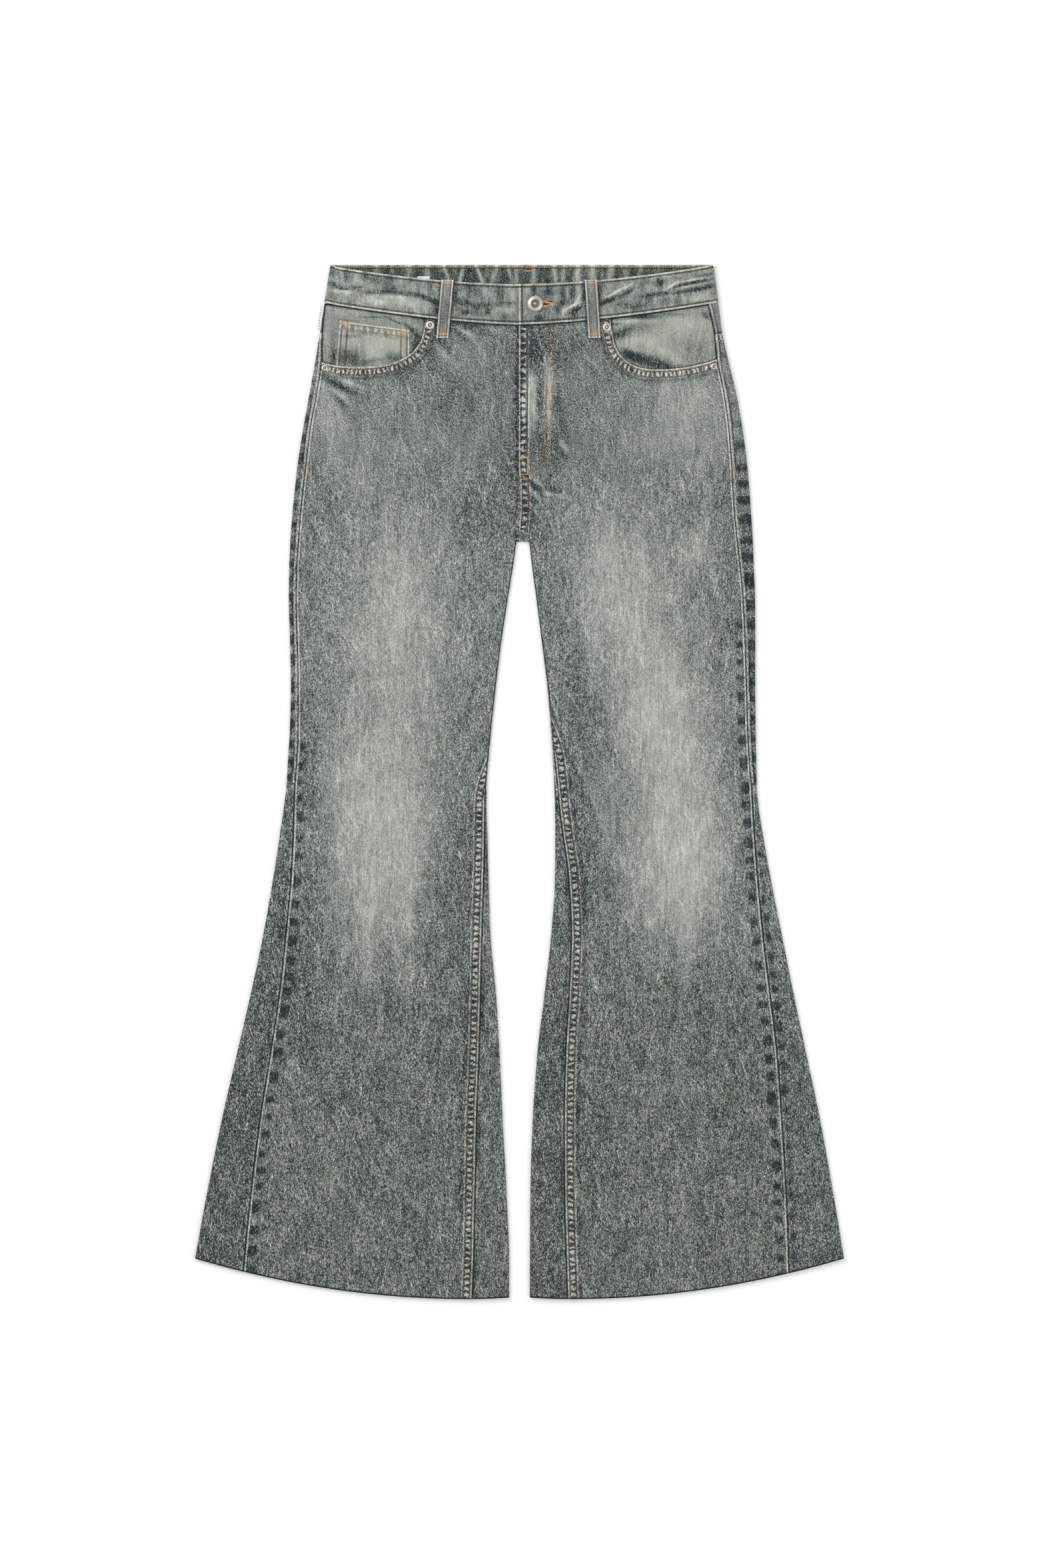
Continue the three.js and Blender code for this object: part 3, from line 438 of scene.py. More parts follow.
def wash_and_shade_patches(x, y, table):
    """The shades that a table of patches adds up to, wash and painted shade alike: each is a bell,
    squarer where its row says so.
    """
    tone = np.zeros(np.shape(x))
    for patch_x, patch_y, wide, high, lean, shade, square in table:
        dx, dy, turn = x - patch_x, y - patch_y, radians(lean)
        across = (dx * np.cos(turn) + dy * np.sin(turn)) / wide
        along = (dy * np.cos(turn) - dx * np.sin(turn)) / high
        tone = tone + shade * np.exp(-((across**2 + along**2) ** square))
    return tone


SHIN_TONE, THIGH_TONE = 0.302, 0.380


def fade(x, y):
    """How pale the denim is washed, with painted shadow beside the fly's edge: paler above the shins, and a
    bell for each row of the two tables, with streaks along the warp in the ends of the large ones. Pale bells
    share as the fourth root of the sum of their fourth powers, dark ones and the finer marks add up."""
    streak = 10 * np.sin(x / 1.9 + 2 * np.sin(x / 13)) + 14 * np.sin(x / 5.3) + 8 * np.sin(x / 9.1 + 1)
    ripple = 0.015 * np.sin(x / 17 + np.sin(y / 60)) * np.sin(y / 43)
    base = mix(SHIN_TONE, THIGH_TONE, smooth(-260, -120, y)) + ripple
    pale, dark = np.zeros(np.shape(x)), np.zeros(np.shape(x))
    for patch_x, patch_y, wide, long, lean, shade, square in FADES:
        dx, dy, turn = x - patch_x, y - patch_y, radians(lean)
        across = (dx * np.cos(turn) + dy * np.sin(turn)) / wide
        along = (dy * np.cos(turn) - dx * np.sin(turn) + streak * min(1, long / 90)) / long
        bell = np.exp(-((across**2 + along**2) ** square))
        if shade > 0:
            pale = pale + (shade * bell) ** 4
        else:
            dark = dark + shade * bell
    return base + pale**0.25 + dark + wash_and_shade_patches(x, y, STREAKS)


def loop_painted_shadow(x, y):
    """Painted shadow beside and under the front belt loops: a narrow bell on both edges of each."""
    tone = np.zeros(np.shape(x))
    for top_x, foot_x in FRONT_LOOPS.values():
        down = (band_top(top_x) + 0.8 - y) / LOOP_LENGTH
        beside = np.abs(x - mix(top_x, foot_x, down)) - LOOP_WIDTH / 2
        below = smooth(1.03, 1.0, down)
        tone = tone - 0.36 * np.exp(-((beside / 1.7) ** 2)) * below
        tone = tone - 0.22 * np.exp(-(((down - 1.015) * LOOP_LENGTH / 1.5) ** 2)) * smooth(1, 0, beside)
    return tone


def blots(run, d, near, far, period, phase=0.0):
    """Dark patches beside a seam, where its turnings lie underneath: a raised cosine that repeats along
    the seam with an uneven pitch, kept between two distances from it."""
    turn = run / period + 0.22 * np.sin(run / 31 + phase) + 0.10 * np.sin(run / 11 + phase)
    bell = (0.5 + 0.5 * np.cos(2 * np.pi * turn)) ** 1.2
    strength = 0.8 + 0.2 * np.sin(run / 47 + phase)
    return bell * strength * smooth(near - 1.2, near + 1, d) * smooth(far + 3, far - 2, d)


def hue(x, y):
    """The dye's cast: olive in the flares, towards blue beside the washed thighs and knees."""
    side = np.abs(np.abs(x - 10) - 146) / 70
    return mix(-0.25, 0.6, smooth(-120, -300, y)) - 0.4 * smooth(0.6, 1.1, side) * smooth(-300, -120, y)


def wall(name, outer, inner, keep=None, **marks):
    """A closed shell of cloth between two grids of points. Cells that keep refuses stay open, and a side
    wall closes each edge beside them. Marks are values at the grid's points, or a pair for both faces."""
    rows, columns = outer.shape[:2]
    index = np.arange(rows * columns).reshape(rows, columns)
    layer = rows * columns
    cells = np.zeros((rows + 1, columns + 1), bool)
    cells[1:-1, 1:-1] = True if keep is None else keep
    kept = cells[1:-1, 1:-1]
    a, b, c, d = index[:-1, :-1], index[:-1, 1:], index[1:, 1:], index[1:, :-1]
    quads = [np.stack([a, b, c, d], -1)[kept], np.stack([a, d, c, b], -1)[kept] + layer]
    borders = [
        (cells[:-2, 1:-1], b, a),
        (cells[2:, 1:-1], d, c),
        (cells[1:-1, :-2], a, d),
        (cells[1:-1, 2:], c, b),
    ]
    for beside, first, second in borders:
        edge = kept & ~beside
        p, q = first[edge], second[edge]
        quads.append(np.stack([p, q, q + layer, p + layer], -1))
    quads = np.concatenate(quads)
    points = np.concatenate([outer.reshape(-1, 3), inner.reshape(-1, 3)])
    used, quads = np.unique(quads, return_inverse=True)
    quads = quads.reshape(-1, 4)
    points = points[used]
    corner = points[quads]
    turned = np.cross(corner[:, 1] - corner[:, 0], corner[:, 2] - corner[:, 0])
    turned = turned + np.cross(corner[:, 2] - corner[:, 0], corner[:, 3] - corner[:, 0])
    if (corner.mean(1) * turned).sum() < 0:
        quads = quads[:, ::-1]
    piece = shape(name, points, quads)
    for mark, values in marks.items():
        both = values if isinstance(values, tuple) else (values, values)
        flat = np.concatenate([np.broadcast_to(v, (rows, columns)).ravel() for v in both])[used]
        piece.data.attributes.new(mark, "FLOAT", "POINT").data.foreach_set("value", flat.astype(np.float32))
    return piece


def shape(name, points, faces):
    """A smooth mesh object from points in millimetres and faces, with its right-angled edges left crisp."""
    mesh = bpy.data.meshes.new(name)
    mesh.from_pydata((points / 1000).tolist(), [], faces.tolist())
    mesh.polygons.foreach_set("use_smooth", np.ones(len(mesh.polygons), bool))
    mesh.set_sharp_from_angle(angle=radians(50))
    mesh.update()
    piece = bpy.data.objects.new(name, mesh)
    bpy.context.collection.objects.link(piece)
    return piece


def settle(level, place, bend):
    """Points whose place across depends on their own bent height, found by going round six times."""
    y = level
    for _ in range(6):
        x = place(y)
        y = bend(x)
    return place(y), y


class Value:
    """A shader socket that can stand in an expression: each operator adds one Math node."""

    def __init__(self, finish, socket):
        self.finish, self.socket = finish, socket

    def math(self, operation, first, second=0.0):
        """The operation on two numbers or sockets."""
        return self.finish.node("Math", {"operation": operation}, {0: first, 1: second})

    def __add__(self, other):
        return self.math("ADD", self, other)

    def __sub__(self, other):
        return self.math("SUBTRACT", self, other)

    def __rsub__(self, other):
        return self.math("SUBTRACT", other, self)

    def __mul__(self, other):
        return self.math("MULTIPLY", self, other)

    def __truediv__(self, other):
        return self.math("DIVIDE", self, other)

    def __abs__(self):
        return self.math("ABSOLUTE", self)

    __radd__ = __add__
    __rmul__ = __mul__

    def sine(self, rate, ahead=0.0):
        """The sine of the value times a rate, moved ahead."""
        return self.math("SINE", self * rate + ahead)

    def clamp(self, low=0.0, high=1.0):
        """The value, held between two limits."""
        return self.math("MINIMUM", self.math("MAXIMUM", self, low), high)


class Finish:
    """A procedural material. Its node method adds any node: settings first, then sockets."""

    def __init__(self, name):
        self.material = bpy.data.materials.new(name)
        self.material.use_nodes = True
        self.tree = self.material.node_tree
        self.tree.nodes.clear()

    def node(self, kind, settings, sockets, output=0):
        """A node of a kind, with its settings and what its sockets take, a value or a number."""
        made = self.tree.nodes.new("ShaderNode" + kind)
        for name, value in settings.items():
            if name == "stops":
                while len(made.color_ramp.elements) < len(value):
                    made.color_ramp.elements.new(0.5)
                for element, (position, colour) in zip(made.color_ramp.elements, value):
                    element.position, element.color = position, (*colour, 1)
            else:
                setattr(made, name, value)
        for name, value in sockets.items():
            if isinstance(value, Value):
                self.tree.links.new(value.socket, made.inputs[name])
            else:
                made.inputs[name].default_value = value
        return Value(self, made.outputs[output]) if made.outputs else None

    def noise(self, size, detail=2.0, turn=0.0, shift=0.0):
        """Noise on the piece's own coordinates, with grains of that size in millimetres."""
        place = self.node("TexCoord", {}, {}, "Object")
        scale = tuple(1000 / s for s in size)
        sockets = {"Vector": place, "Rotation": (0, 0, radians(turn)), "Location": (shift, shift, 0)}
        turned = self.node("Mapping", {}, sockets)
        spread = self.node("VectorMath", {"operation": "MULTIPLY"}, {0: turned, 1: scale})
        kind = {"Vector": spread, "Scale": 1.0, "Detail": detail, "Roughness": 0.6, "Distortion": 0.0}
        return self.node("TexNoise", {}, kind)

    def mark(self, name):
        """A value that the mesh carries at its points."""
        return self.node("Attribute", {"attribute_name": name}, {}, "Fac")

    def surface(self, colour, roughness, bump, depth, **constants):
        """The Principled surface with a bump of that depth in millimetres, and constants set on it."""
        normal = self.node("Bump", {}, {"Height": bump, "Strength": 1.0, "Distance": depth / 1000})
        sockets = {"Base Color": colour, "Roughness": roughness, "Normal": normal}
        sockets.update({name.replace("_", " "): value for name, value in constants.items()})
        shader = self.node("BsdfPrincipled", {}, sockets)
        self.node("OutputMaterial", {}, {"Surface": shader})
        return self.material


def linear(red, green, blue):
    """A display colour as linear light, by the sRGB curve."""
    colour = np.array([red, green, blue])
    return tuple(np.where(colour <= 0.04045, colour / 12.92, ((colour + 0.055) / 1.055) ** 2.4))


DENIM_STOPS = [
    (0.0, linear(0.120, 0.150, 0.170)),
    (0.25, linear(0.325, 0.352, 0.350)),
    (0.5, linear(0.508, 0.528, 0.510)),
    (0.75, linear(0.690, 0.702, 0.668)),
    (1.0, linear(0.862, 0.866, 0.820)),
]


def denim(name, lines=(), ladders=(), grainy=1.0, mottled=0.30, blotted=0.0):
    """Washed denim. Its tone is the piece's mark of wash and painted shade, plus noise for the twill's grain,
    its slubs and the wash, pale hairlines, and what each line, ladder and blot adds beside the seams, painted
    shadow among the lines."""
    finish = Finish(name)
    fine = finish.noise((0.7, 1.6, 3), 1.0, 8)
    grain = finish.noise((1.2, 5, 3), 1.0, -12, 0.3)
    slub = finish.noise((1.3, 28, 20), 1.0)
    mottle = finish.noise((5, 11, 20), 2.0)
    cloud = finish.noise((18, 34, 60), 2.0, 8)
    pale = finish.mark("fade")
    lively = (1.70 - pale * 1.9) * grainy
    tone = pale + ((fine - 0.5) * 2.0 + (grain - 0.5) * 0.5) * lively + (mottle - 0.5) * mottled
    tone = tone + ((slub - 0.5) * 0.42 + (cloud - 0.5) * 0.28) * grainy
    height = fine * 0.4 + grain * 0.5
    for turn, shift in ((13, 1.1), (-17, 2.3), (-33, 3.7)):
        hair = finish.noise((1.2, 60, 30), 0.0, turn, shift)
        tone = tone + ((hair - 0.67) * 9.0).clamp() * (0.26 - pale * 0.26) * grainy
    for line in lines:
        d = finish.mark(line["seam"])
        mask = ((line["half"] - abs(d - line["middle"])) / line.get("soft", 0.5) + 0.5).clamp()
        if "broken" in line:
            mask = mask * ((finish.noise(line["broken"], 1.0) - 0.42) * 7.0).clamp()
        tone = tone + mask * line["shade"]
    for ladder in ladders:
        d, run = finish.mark(ladder["seam"]), finish.mark(ladder["run"])
        inside = ((d - ladder["start"]) / 0.9 + 0.5).clamp() * ((ladder["end"] - d) / 0.9 + 0.5).clamp()
        sway = (finish.noise((7, 7, 30), 1.0, 0, 0.7) - 0.5) * 8.0
        rungs = (run.sine(2 * pi / ladder["pitch"], sway) * 1.6 + (mottle - 0.5) * 1.6).clamp(-1.0, 1.0)
        tone = tone + inside * (rungs * ladder["shade"] + ladder.get("lift", 0.0))
        height = height + inside * rungs * 0.8
    if blotted:
        blot = ((finish.mark("blot") - 0.22 + (mottle - 0.5) * 0.7) * 2.6).clamp()
        tone = tone - blot * blotted
    cast = finish.node(
        "ValToRGB",
        {"stops": [(0.33, (0.45, 0.485, 0.575)), (0.5, (0.5, 0.5, 0.5)), (0.67, (0.515, 0.53, 0.41))]},
        {"Fac": finish.noise((1.3, 1.6, 3), 2.0, 0, 1.7) + finish.mark("hue") * 0.07},
    )
    dyed = finish.node("ValToRGB", {"stops": DENIM_STOPS}, {"Fac": tone.clamp()})
    colour = finish.node(
        "Mix", {"data_type": "RGBA", "blend_type": "OVERLAY"}, {0: 0.5, 6: dyed, 7: cast}, 2
    )
    roughness = 0.97 - 0.12 * tone.clamp()
    return finish.surface(colour, roughness, height, 0.35, Sheen_Weight=0.12, Specular_IOR_Level=0.25)


FRONT_LINES = [
    {"seam": "d_inner", "middle": 0.6, "half": 0.9, "shade": 0.34},
    {"seam": "d_inner", "middle": 2.1, "half": 0.7, "shade": -0.34},
    {"seam": "d_inner", "middle": 8.6, "half": 0.7, "shade": -0.34},
    {"seam": "d_inner", "middle": 10.3, "half": 0.8, "shade": 0.24},
    {"seam": "d_inner", "middle": 13.0, "half": 2.0, "soft": 2.5, "shade": -0.18, "broken": (30, 22, 30)},
    {"seam": "d_outer", "middle": 0.8, "half": 0.9, "shade": 0.34},
    {"seam": "d_outer", "middle": 2.4, "half": 0.5, "shade": -0.14},
    {"seam": "d_mouth", "middle": 0.9, "half": 1.0, "shade": 0.36},
    {"seam": "d_mouth", "middle": 2.7, "half": 0.7, "shade": -0.32},
    {"seam": "d_mouth", "middle": 8.8, "half": 0.7, "shade": -0.32},
    # Painted shadow below the pocket mouth's turned hem.
    {"seam": "d_mouth", "middle": 12.4, "half": 1.4, "soft": 2.0, "shade": -0.16},
    # Painted shadow under the waistband's lower edge: a dark line and a soft one.
    {"seam": "d_top", "middle": 0.3, "half": 0.9, "soft": 0.7, "shade": -0.55},
    {"seam": "d_top", "middle": 0.0, "half": 3.0, "soft": 4.0, "shade": -0.18},
    {"seam": "d_hem", "middle": 0.0, "half": 1.5, "soft": 0.6, "shade": -0.80},
    {"seam": "d_rows", "middle": 10.0, "half": 0.8, "shade": -0.20},
    {"seam": "d_rows", "middle": 16.4, "half": 0.8, "shade": -0.20},
]
FRONT_LADDERS = [
    {"seam": "d_fell", "run": "run", "start": 2.8, "end": 7.9, "pitch": 6.2, "shade": 0.34, "lift": 0.05},
    {
        "seam": "d_mouth", "run": "run_mouth", "start": 3.4, "end": 8.1, "pitch": 4.6,
        "shade": 0.34, "lift": 0.08,
    },
    {"seam": "d_fly", "run": "run", "start": 1.6, "end": 7.2, "pitch": 7.4, "shade": 0.34, "lift": 0.0},
]
FRONT_DENIM = {
    "right": denim("denim_front_right", FRONT_LINES[:-2], FRONT_LADDERS[:2], blotted=0.36),
    "left": denim("denim_front_left", FRONT_LINES, FRONT_LADDERS, blotted=0.36),
}


def fly_row(inset):
    """The fly's row of stitches: straight down, then round to the fly's edge, smoothed by a running mean
    and moved towards the fly's edge by the inset along its normal."""
    knots = np.array([(36.1, 478), (36.1, 434), (34, 388), (32.9, 357), (29.8, 338), (23.1, 326), (14, 318)])
    length = np.concatenate([[0], np.cumsum(np.hypot(*np.diff(knots, axis=0).T))])
    even = np.linspace(0, length[-1], 200)
    curve = np.stack([np.interp(even, length, knots[:, 0]), np.interp(even, length, knots[:, 1])], 1)
    padded = np.pad(curve, ((12, 12), (0, 0)), "reflect", reflect_type="odd")
    soft = np.stack([np.convolve(column, np.ones(25) / 25, "valid") for column in padded.T], 1)
    step = np.gradient(soft, axis=0)
    step = step / np.hypot(step[:, 0], step[:, 1])[:, None]
    return soft + inset * np.stack([step[:, 1], -step[:, 0]], 1)


def front_panel(side):
    """The panel on a grid from its inner edge to the outseam, and from the waist and mouth to the hem.
    Rows start along the waist and mouth, pass over to level lines, and bend towards the hem."""
    sign = SIDES[side]

    def outer_x(y):
        """The panel's outer edge: the outseam, less half of the seam's gap."""
        return outline(side, "outseam", y) - sign * GAP / 2

    top = band_bottom(mouth_start(side))
    width = abs(outer_x(top) - front_edge(side, top))
    start = abs(mouth_start(side) - front_edge(side, top))
    near = np.array([0, 0.5, 1.1, 1.9, 2.9, 4.1, 5.4, 6.8, 8.2, 9.2, 9.8, 10.3, 11.2, 13, 15.4])
    fixed = near[-1]
    spread = np.concatenate([
        near,
        np.arange(18, start - 1, 2.5),
        start + np.array([0, 0.4, 1, 2, 3.4, 5.2]),
        np.arange(start + 7.5, width - 11, 2.5),
        width - np.array([10, 8, 6, 4.2, 2.8, 1.7, 0.8, 0]),
    ])
    share = (spread - fixed) / (width - fixed)
    edge_steps = np.array([0, 0.5, 1.1, 2, 3.2, 4.6, 6, 7.4, 8.6, 9.6, 10.3, 11, 12.4, 14.2])
    blend = np.linspace(0, 1, 22)[1:]
    levels = np.concatenate([
        np.arange(404, 264, -2.5)[1:],
        [CROTCH_SEAM_END, CROTCH_SEAM_END - 0.6],
        np.linspace(260, HEM_LOW + 3, 330),
        [HEM_LOW + 2, HEM_LOW + 1, HEM_LOW],
    ])
    offset = np.concatenate([edge_steps, np.full(len(blend) + len(levels), edge_steps[-1])])[:, None]
    passed = np.concatenate([0 * edge_steps, blend, np.ones(len(levels))])[:, None]
    level = np.concatenate([np.full(len(edge_steps) + len(blend), 404.0), levels])[:, None]

    def place(y):
        """A fixed distance from the inner edge near it, and a share of the rest of the width beyond."""
        whole = np.abs(outer_x(y) - front_edge(side, y))
        return front_edge(side, y) + sign * np.where(spread <= fixed, spread, mix(fixed, whole, share))

    def bend(x):
        """From lines along the waist and mouth, over to level lines that bend towards the hem."""
        return mix(mouth_y(side, x) - GAP - offset, hem_bend(x, level), passed)

    x, y = settle(level + 0 * spread, place, bend)
    mouth, mouth_run = np.full(x.shape, 99.0), np.zeros(x.shape)
    high = y > 396
    mouth[high], mouth_run[high] = beside_path(mouth_path(side), x[high], y[high])
    rows = np.full(x.shape, 99.0)
    fly = (y > 300) & (x > 0) & (x < 60)
    rows[fly] = beside_path(fly_row(16.4), x[fly], y[fly])[0]
    inner_d = sign * (x - front_edge(side, y))
    outer_d = sign * (outer_x(y) - x)
    top_d = np.where(sign * (x - mouth_start(side)) < 2, band_bottom(x) - y, 99)
    hem_d = y - hem_bend(x, HEM_LOW)
    z = front_surface(side, x, y, mouth)
    for d in (inner_d, mouth, hem_d):
        z = z - 0.4 * (1 - np.sqrt(1 - np.clip(1 - d / 0.9, 0, 1) ** 2))
    under = front_top(side, x, y) - CLOTH
    if side == "right":
        under = under - (CLOTH + GAP) * smooth(17, 5, inner_d) * smooth(290, 305, y)
        blot = blots(y, outer_d, 2.0, mix(11, 7, smooth(-60, 0, y)), 20.5) * smooth(80, 20, y)
    else:
        near, far = mix(4, 1.5, smooth(-200, -60, y)), mix(12, 9.5, smooth(-200, 0, y))
        blot = blots(y, outer_d, near, far, 21.0, 2.0)
        blot = blot * smooth(210, 150, y)
    return wall(
        f"denim_front_{side}",
        np.stack([x, y, z], -1),
        np.stack([x, y, under], -1),
        # The front's tone: the wash with its painted shadows, and the belt loops' painted shadow.
        fade=fade(x, y) + loop_painted_shadow(x, y),
        hue=hue(x, y),
        blot=blot,
        run=y,
        run_mouth=mouth_run,
        d_inner=inner_d + np.where(y < 255, rolled_under(side, y), 40 * (side == "right")),
        d_outer=outer_d,
        d_mouth=mouth,
        d_top=top_d,
        d_hem=hem_d,
        d_fell=inner_d + np.where(y < 215, rolled_under(side, y), 99),
        d_fly=np.where(y > 262, inner_d, 99),
        d_rows=rows,
    )


def dress(piece, slot, material, *nodes):
    """Gives a piece its material, the body that it rides on and the nodes that it stands for. The slot is
    not used.
    """
    piece.data.materials.append(material)
    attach(piece, "root")
    if nodes:
        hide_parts(*nodes)
    return piece


def thread_finish():
    """Twisted sewing thread: brown, orange or between by the dye mark, with a turn of light and dark."""
    finish = Finish("sewing_thread")
    dye = finish.node("Attribute", {"attribute_name": "dye"}, {}, "Fac")
    ply = finish.noise((0.5, 0.5, 0.5), 1.0)
    stops = [
        (0.0, linear(0.16, 0.12, 0.11)),
        (0.3, linear(0.36, 0.25, 0.19)),
        (0.6, linear(0.62, 0.44, 0.28)),
        (0.85, linear(0.86, 0.58, 0.26)),
        (1.0, linear(0.96, 0.76, 0.50)),
    ]
    colour = finish.node("ValToRGB", {"stops": stops}, {"Fac": (dye + (ply - 0.5) * 0.5).clamp()})
    return finish.surface(colour, 0.55 + 0.3 * ply, ply, 0.15, Sheen_Weight=0.2)


THREAD = thread_finish()


def stitch_line(path, height, dye, pitch=3.0, length=2.4, width=0.8, crosswise=False, face=1):
    """Stitches set out evenly along a path, each a small lozenge of six sides: its middle stands on the
    cloth and its ends dip into it. Crosswise ones lie square to the path, as in a bartack."""
    path = np.asarray(path, float)
    step = np.hypot(*np.diff(path, axis=0).T)
    run = np.concatenate([[0], np.cumsum(step)])
    at = np.arange(pitch / 2, run[-1], pitch)
    x, y = np.interp(at, run, path[:, 0]), np.interp(at, run, path[:, 1])
    ahead = np.minimum(at + 0.5, run[-1])
    behind = np.maximum(at - 0.5, 0)
    dx = np.interp(ahead, run, path[:, 0]) - np.interp(behind, run, path[:, 0])
    dy = np.interp(ahead, run, path[:, 1]) - np.interp(behind, run, path[:, 1])
    size = np.hypot(dx, dy) + 1e-9
    dx, dy = dx / size, dy / size
    if crosswise:
        dx, dy = -dy, dx
    spin = np.arange(6) * np.pi / 3
    along = np.concatenate([[-0.5], np.full(6, -0.3), np.full(6, 0.3), [0.5]]) * length
    aside = np.concatenate([[0], np.cos(spin), np.cos(spin), [0]]) * width / 2
    above = np.concatenate([[-0.25], np.sin(spin) * 0.42 + 0.12, np.sin(spin) * 0.42 + 0.12, [-0.25]]) * width
    px = x[:, None] + dx[:, None] * along - dy[:, None] * aside
    py = y[:, None] + dy[:, None] * along + dx[:, None] * aside
    pz = height(x, y)[:, None] + face * above
    wobble = np.sin(at * 12.9898 + len(at)) * 43758.5453
    shade = np.broadcast_to(dye + 0.16 * ((wobble % 1)[:, None] - 0.5), px.shape)
    return np.stack([px, py, pz], -1).reshape(-1, 3), shade.ravel(), face


def stitching(name, lines):
    """One object of all these lines of stitches, each stitch closed by a fan at both ends."""
    ring = np.arange(6)
    after = (ring + 1) % 6
    start = np.stack([np.zeros(6, int), 1 + after, 1 + ring], 1)
    side_one = np.stack([1 + ring, 1 + after, 7 + after], 1)
    side_two = np.stack([1 + ring, 7 + after, 7 + ring], 1)
    end = np.stack([np.full(6, 13), 7 + ring, 7 + after], 1)
    one = np.concatenate([start, side_one, side_two, end])
    points = np.concatenate([line[0] for line in lines])
    dye = np.concatenate([line[1] for line in lines])
    facing = np.concatenate([np.full(len(line[0]) // 14, line[2]) for line in lines])
    faces = (one[None] + 14 * np.arange(len(points) // 14)[:, None, None])
    faces[facing < 0] = faces[facing < 0][:, :, ::-1]
    piece = shape(name, points, faces.reshape(-1, 3))
    piece.data.attributes.new("dye", "FLOAT", "POINT").data.foreach_set("value", dye.astype(np.float32))
    return dress(piece, "thread", THREAD)


def bar(x0, y0, x1, y1, height, dye=0.85, width=2.0, face=1):
    """A bartack: a closely set row of short stitches square to the line from one end to the other."""
    return stitch_line([(x0, y0), (x1, y1)], height, dye, 0.5, width, 0.6, True, face)


def front_stitches(side):
    """The rows that show on a front: the felled seam, the pocket mouth, and the fly on the left."""
    sign = SIDES[side]

    def on_front(x, y):
        """The height of the front's surface."""
        return front_surface(side, x, y)

    lines = []
    for inset in (2.1, 8.6):
        y = np.linspace(90, HEM_LOW + 1, 500)
        y = y[inset - rolled_under(side, y) > 0.8]
        path = np.stack([front_edge(side, y) + sign * (inset - rolled_under(side, y)), y], 1)
        lines.append(stitch_line(path, on_front, 0.46, 3.05, 1.9, 0.8))
    for inset, dye in ((2.7, 0.62), (8.8, 0.62)):
        path = mouth_path(side, inset)
        path = path[path[:, 1] < band_bottom(path[:, 0]) - 1.5]
        lines.append(stitch_line(path, on_front, dye, 2.7, 2.1, 0.75))
    if side == "right":
        lines.append(bar(-226.4, 330, -226.8, 318, on_front, 0.8, 1.8))
        return lines
    run = np.linspace(478, 342, 140)
    lines.append(stitch_line(np.stack([run * 0 + 8.1, run], 1), on_front, 0.42, 2.9, 2.2, 0.75))
    for inset in (0, 6.4):
        lines.append(stitch_line(fly_row(inset), on_front, 0.78, 2.9, 2.4, 0.95))
    lines.append(bar(0.4, 340.6, 9.3, 340.6, on_front))
    lines.append(bar(8.6, 340, 8.6, 323, on_front, 0.85, 1.3))
    lines.append(bar(0.8, 323, 9.3, 323, on_front, 0.75, 1.5))
    lines.append(bar(1.6, 317.6, 8.6, 317.6, on_front, 0.7, 1.5))
    run = np.linspace(316, 266, 60)
    for inset in (1.6, 8.0):
        path = np.stack([front_edge(side, run) + inset, run], 1)
        lines.append(stitch_line(path, on_front, 0.6, 2.9, 2.2, 0.75))
    return lines


for side in SIDES:
    panel = dress(front_panel(side), "denim", FRONT_DENIM[side], f"front_{side}")
    seams = stitching(f"stitches_front_{side}", front_stitches(side))


# BACK PANELS
# The same denim, from the yoke seam to the hem. Above the knee each one rolls round both folds of the
# leg and meets the front's seams. Below it stops at the insets. It turns up behind the fly at the crotch.
SEAM_OF = {"outer": "outseam", "inner": "inseam"}
POCKET = {
    "inner": 30,
    "outer": 168,
    "top": 414,
    "rise": 8,
    "foot_inner": 38,
    "foot_outer": 160,
    "foot": 290,
    "point": 268,
}
CROTCH_TURN = {"half": 6.7, "height": 2.1}

# Washed patches of the back: middle, half width, half length, lean, shade and squareness.
BACK_FADES = np.array([
    [-100, 330, 62, 80, 0, 0.20, 1.3],
    [104, 330, 62, 80, 0, 0.20, 1.3],
    [-130, 150, 48, 120, 0, 0.12, 1.2],
    [134, 150, 48, 120, 0, 0.12, 1.2],
    [-150, -90, 50, 120, 3, 0.16, 1.4],
    [154, -90, 50, 120, -3, 0.16, 1.4],
    [3, 300, 10, 120, 0, -0.08, 1.2],
])


def yoke_seam(x):
    """The yoke's lower seam: straight from each side fold down to the seat seam."""
    return 425 + (48 / 210) * np.abs(x - CENTRE_BACK)


def back_lift(x, y):
    """Height of the back above the surface: up at the hips, and up over each pocket."""
    beside = np.abs(x - CENTRE_BACK)
    across = np.maximum(POCKET["inner"] - beside, beside - POCKET["outer"])
    along = np.maximum(y - POCKET["top"] - POCKET["rise"], POCKET["point"] - y)
    return np.maximum(edge_lift(y), BACK_LIFT * smooth(21, 9, np.maximum(across, along)))


def back_fade(x, y):
    """How pale the back is washed: each patch is a bell, squarer where its row says so."""
    tone = 0.42 + 0.02 * np.sin(x / 15 + np.sin(y / 50)) * np.sin(y / 37)
    for patch_x, patch_y, wide, long, lean, shade, square in BACK_FADES:
        dx, dy, turn = x - patch_x, y - patch_y, radians(lean)
        across = (dx * np.cos(turn) + dy * np.sin(turn)) / wide
        along = (dy * np.cos(turn) - dx * np.sin(turn)) / long
        tone = tone + shade * np.exp(-((across**2 + along**2) ** square))
    return tone


def fold_circle(side, column, y):
    """The circle that the cloth turns round at a side fold: radius, outward sign, and its centre's x
    and z."""
    out = SIDES[side] if column == "outer" else -SIDES[side]
    radius = (loft(y) - edge_lift(y)) / 2
    return radius, out, outline(side, column, y) - out * radius, edge_lift(y) + radius


def under_seam(side, column, y):
    """Where the seam that a fold's seam meets runs on the underside, always inside the fold."""
    out, centre = fold_circle(side, column, y)[1:3]
    return centre - out * np.maximum(out * (centre - outline(side, SEAM_OF[column], y)), 0.6)


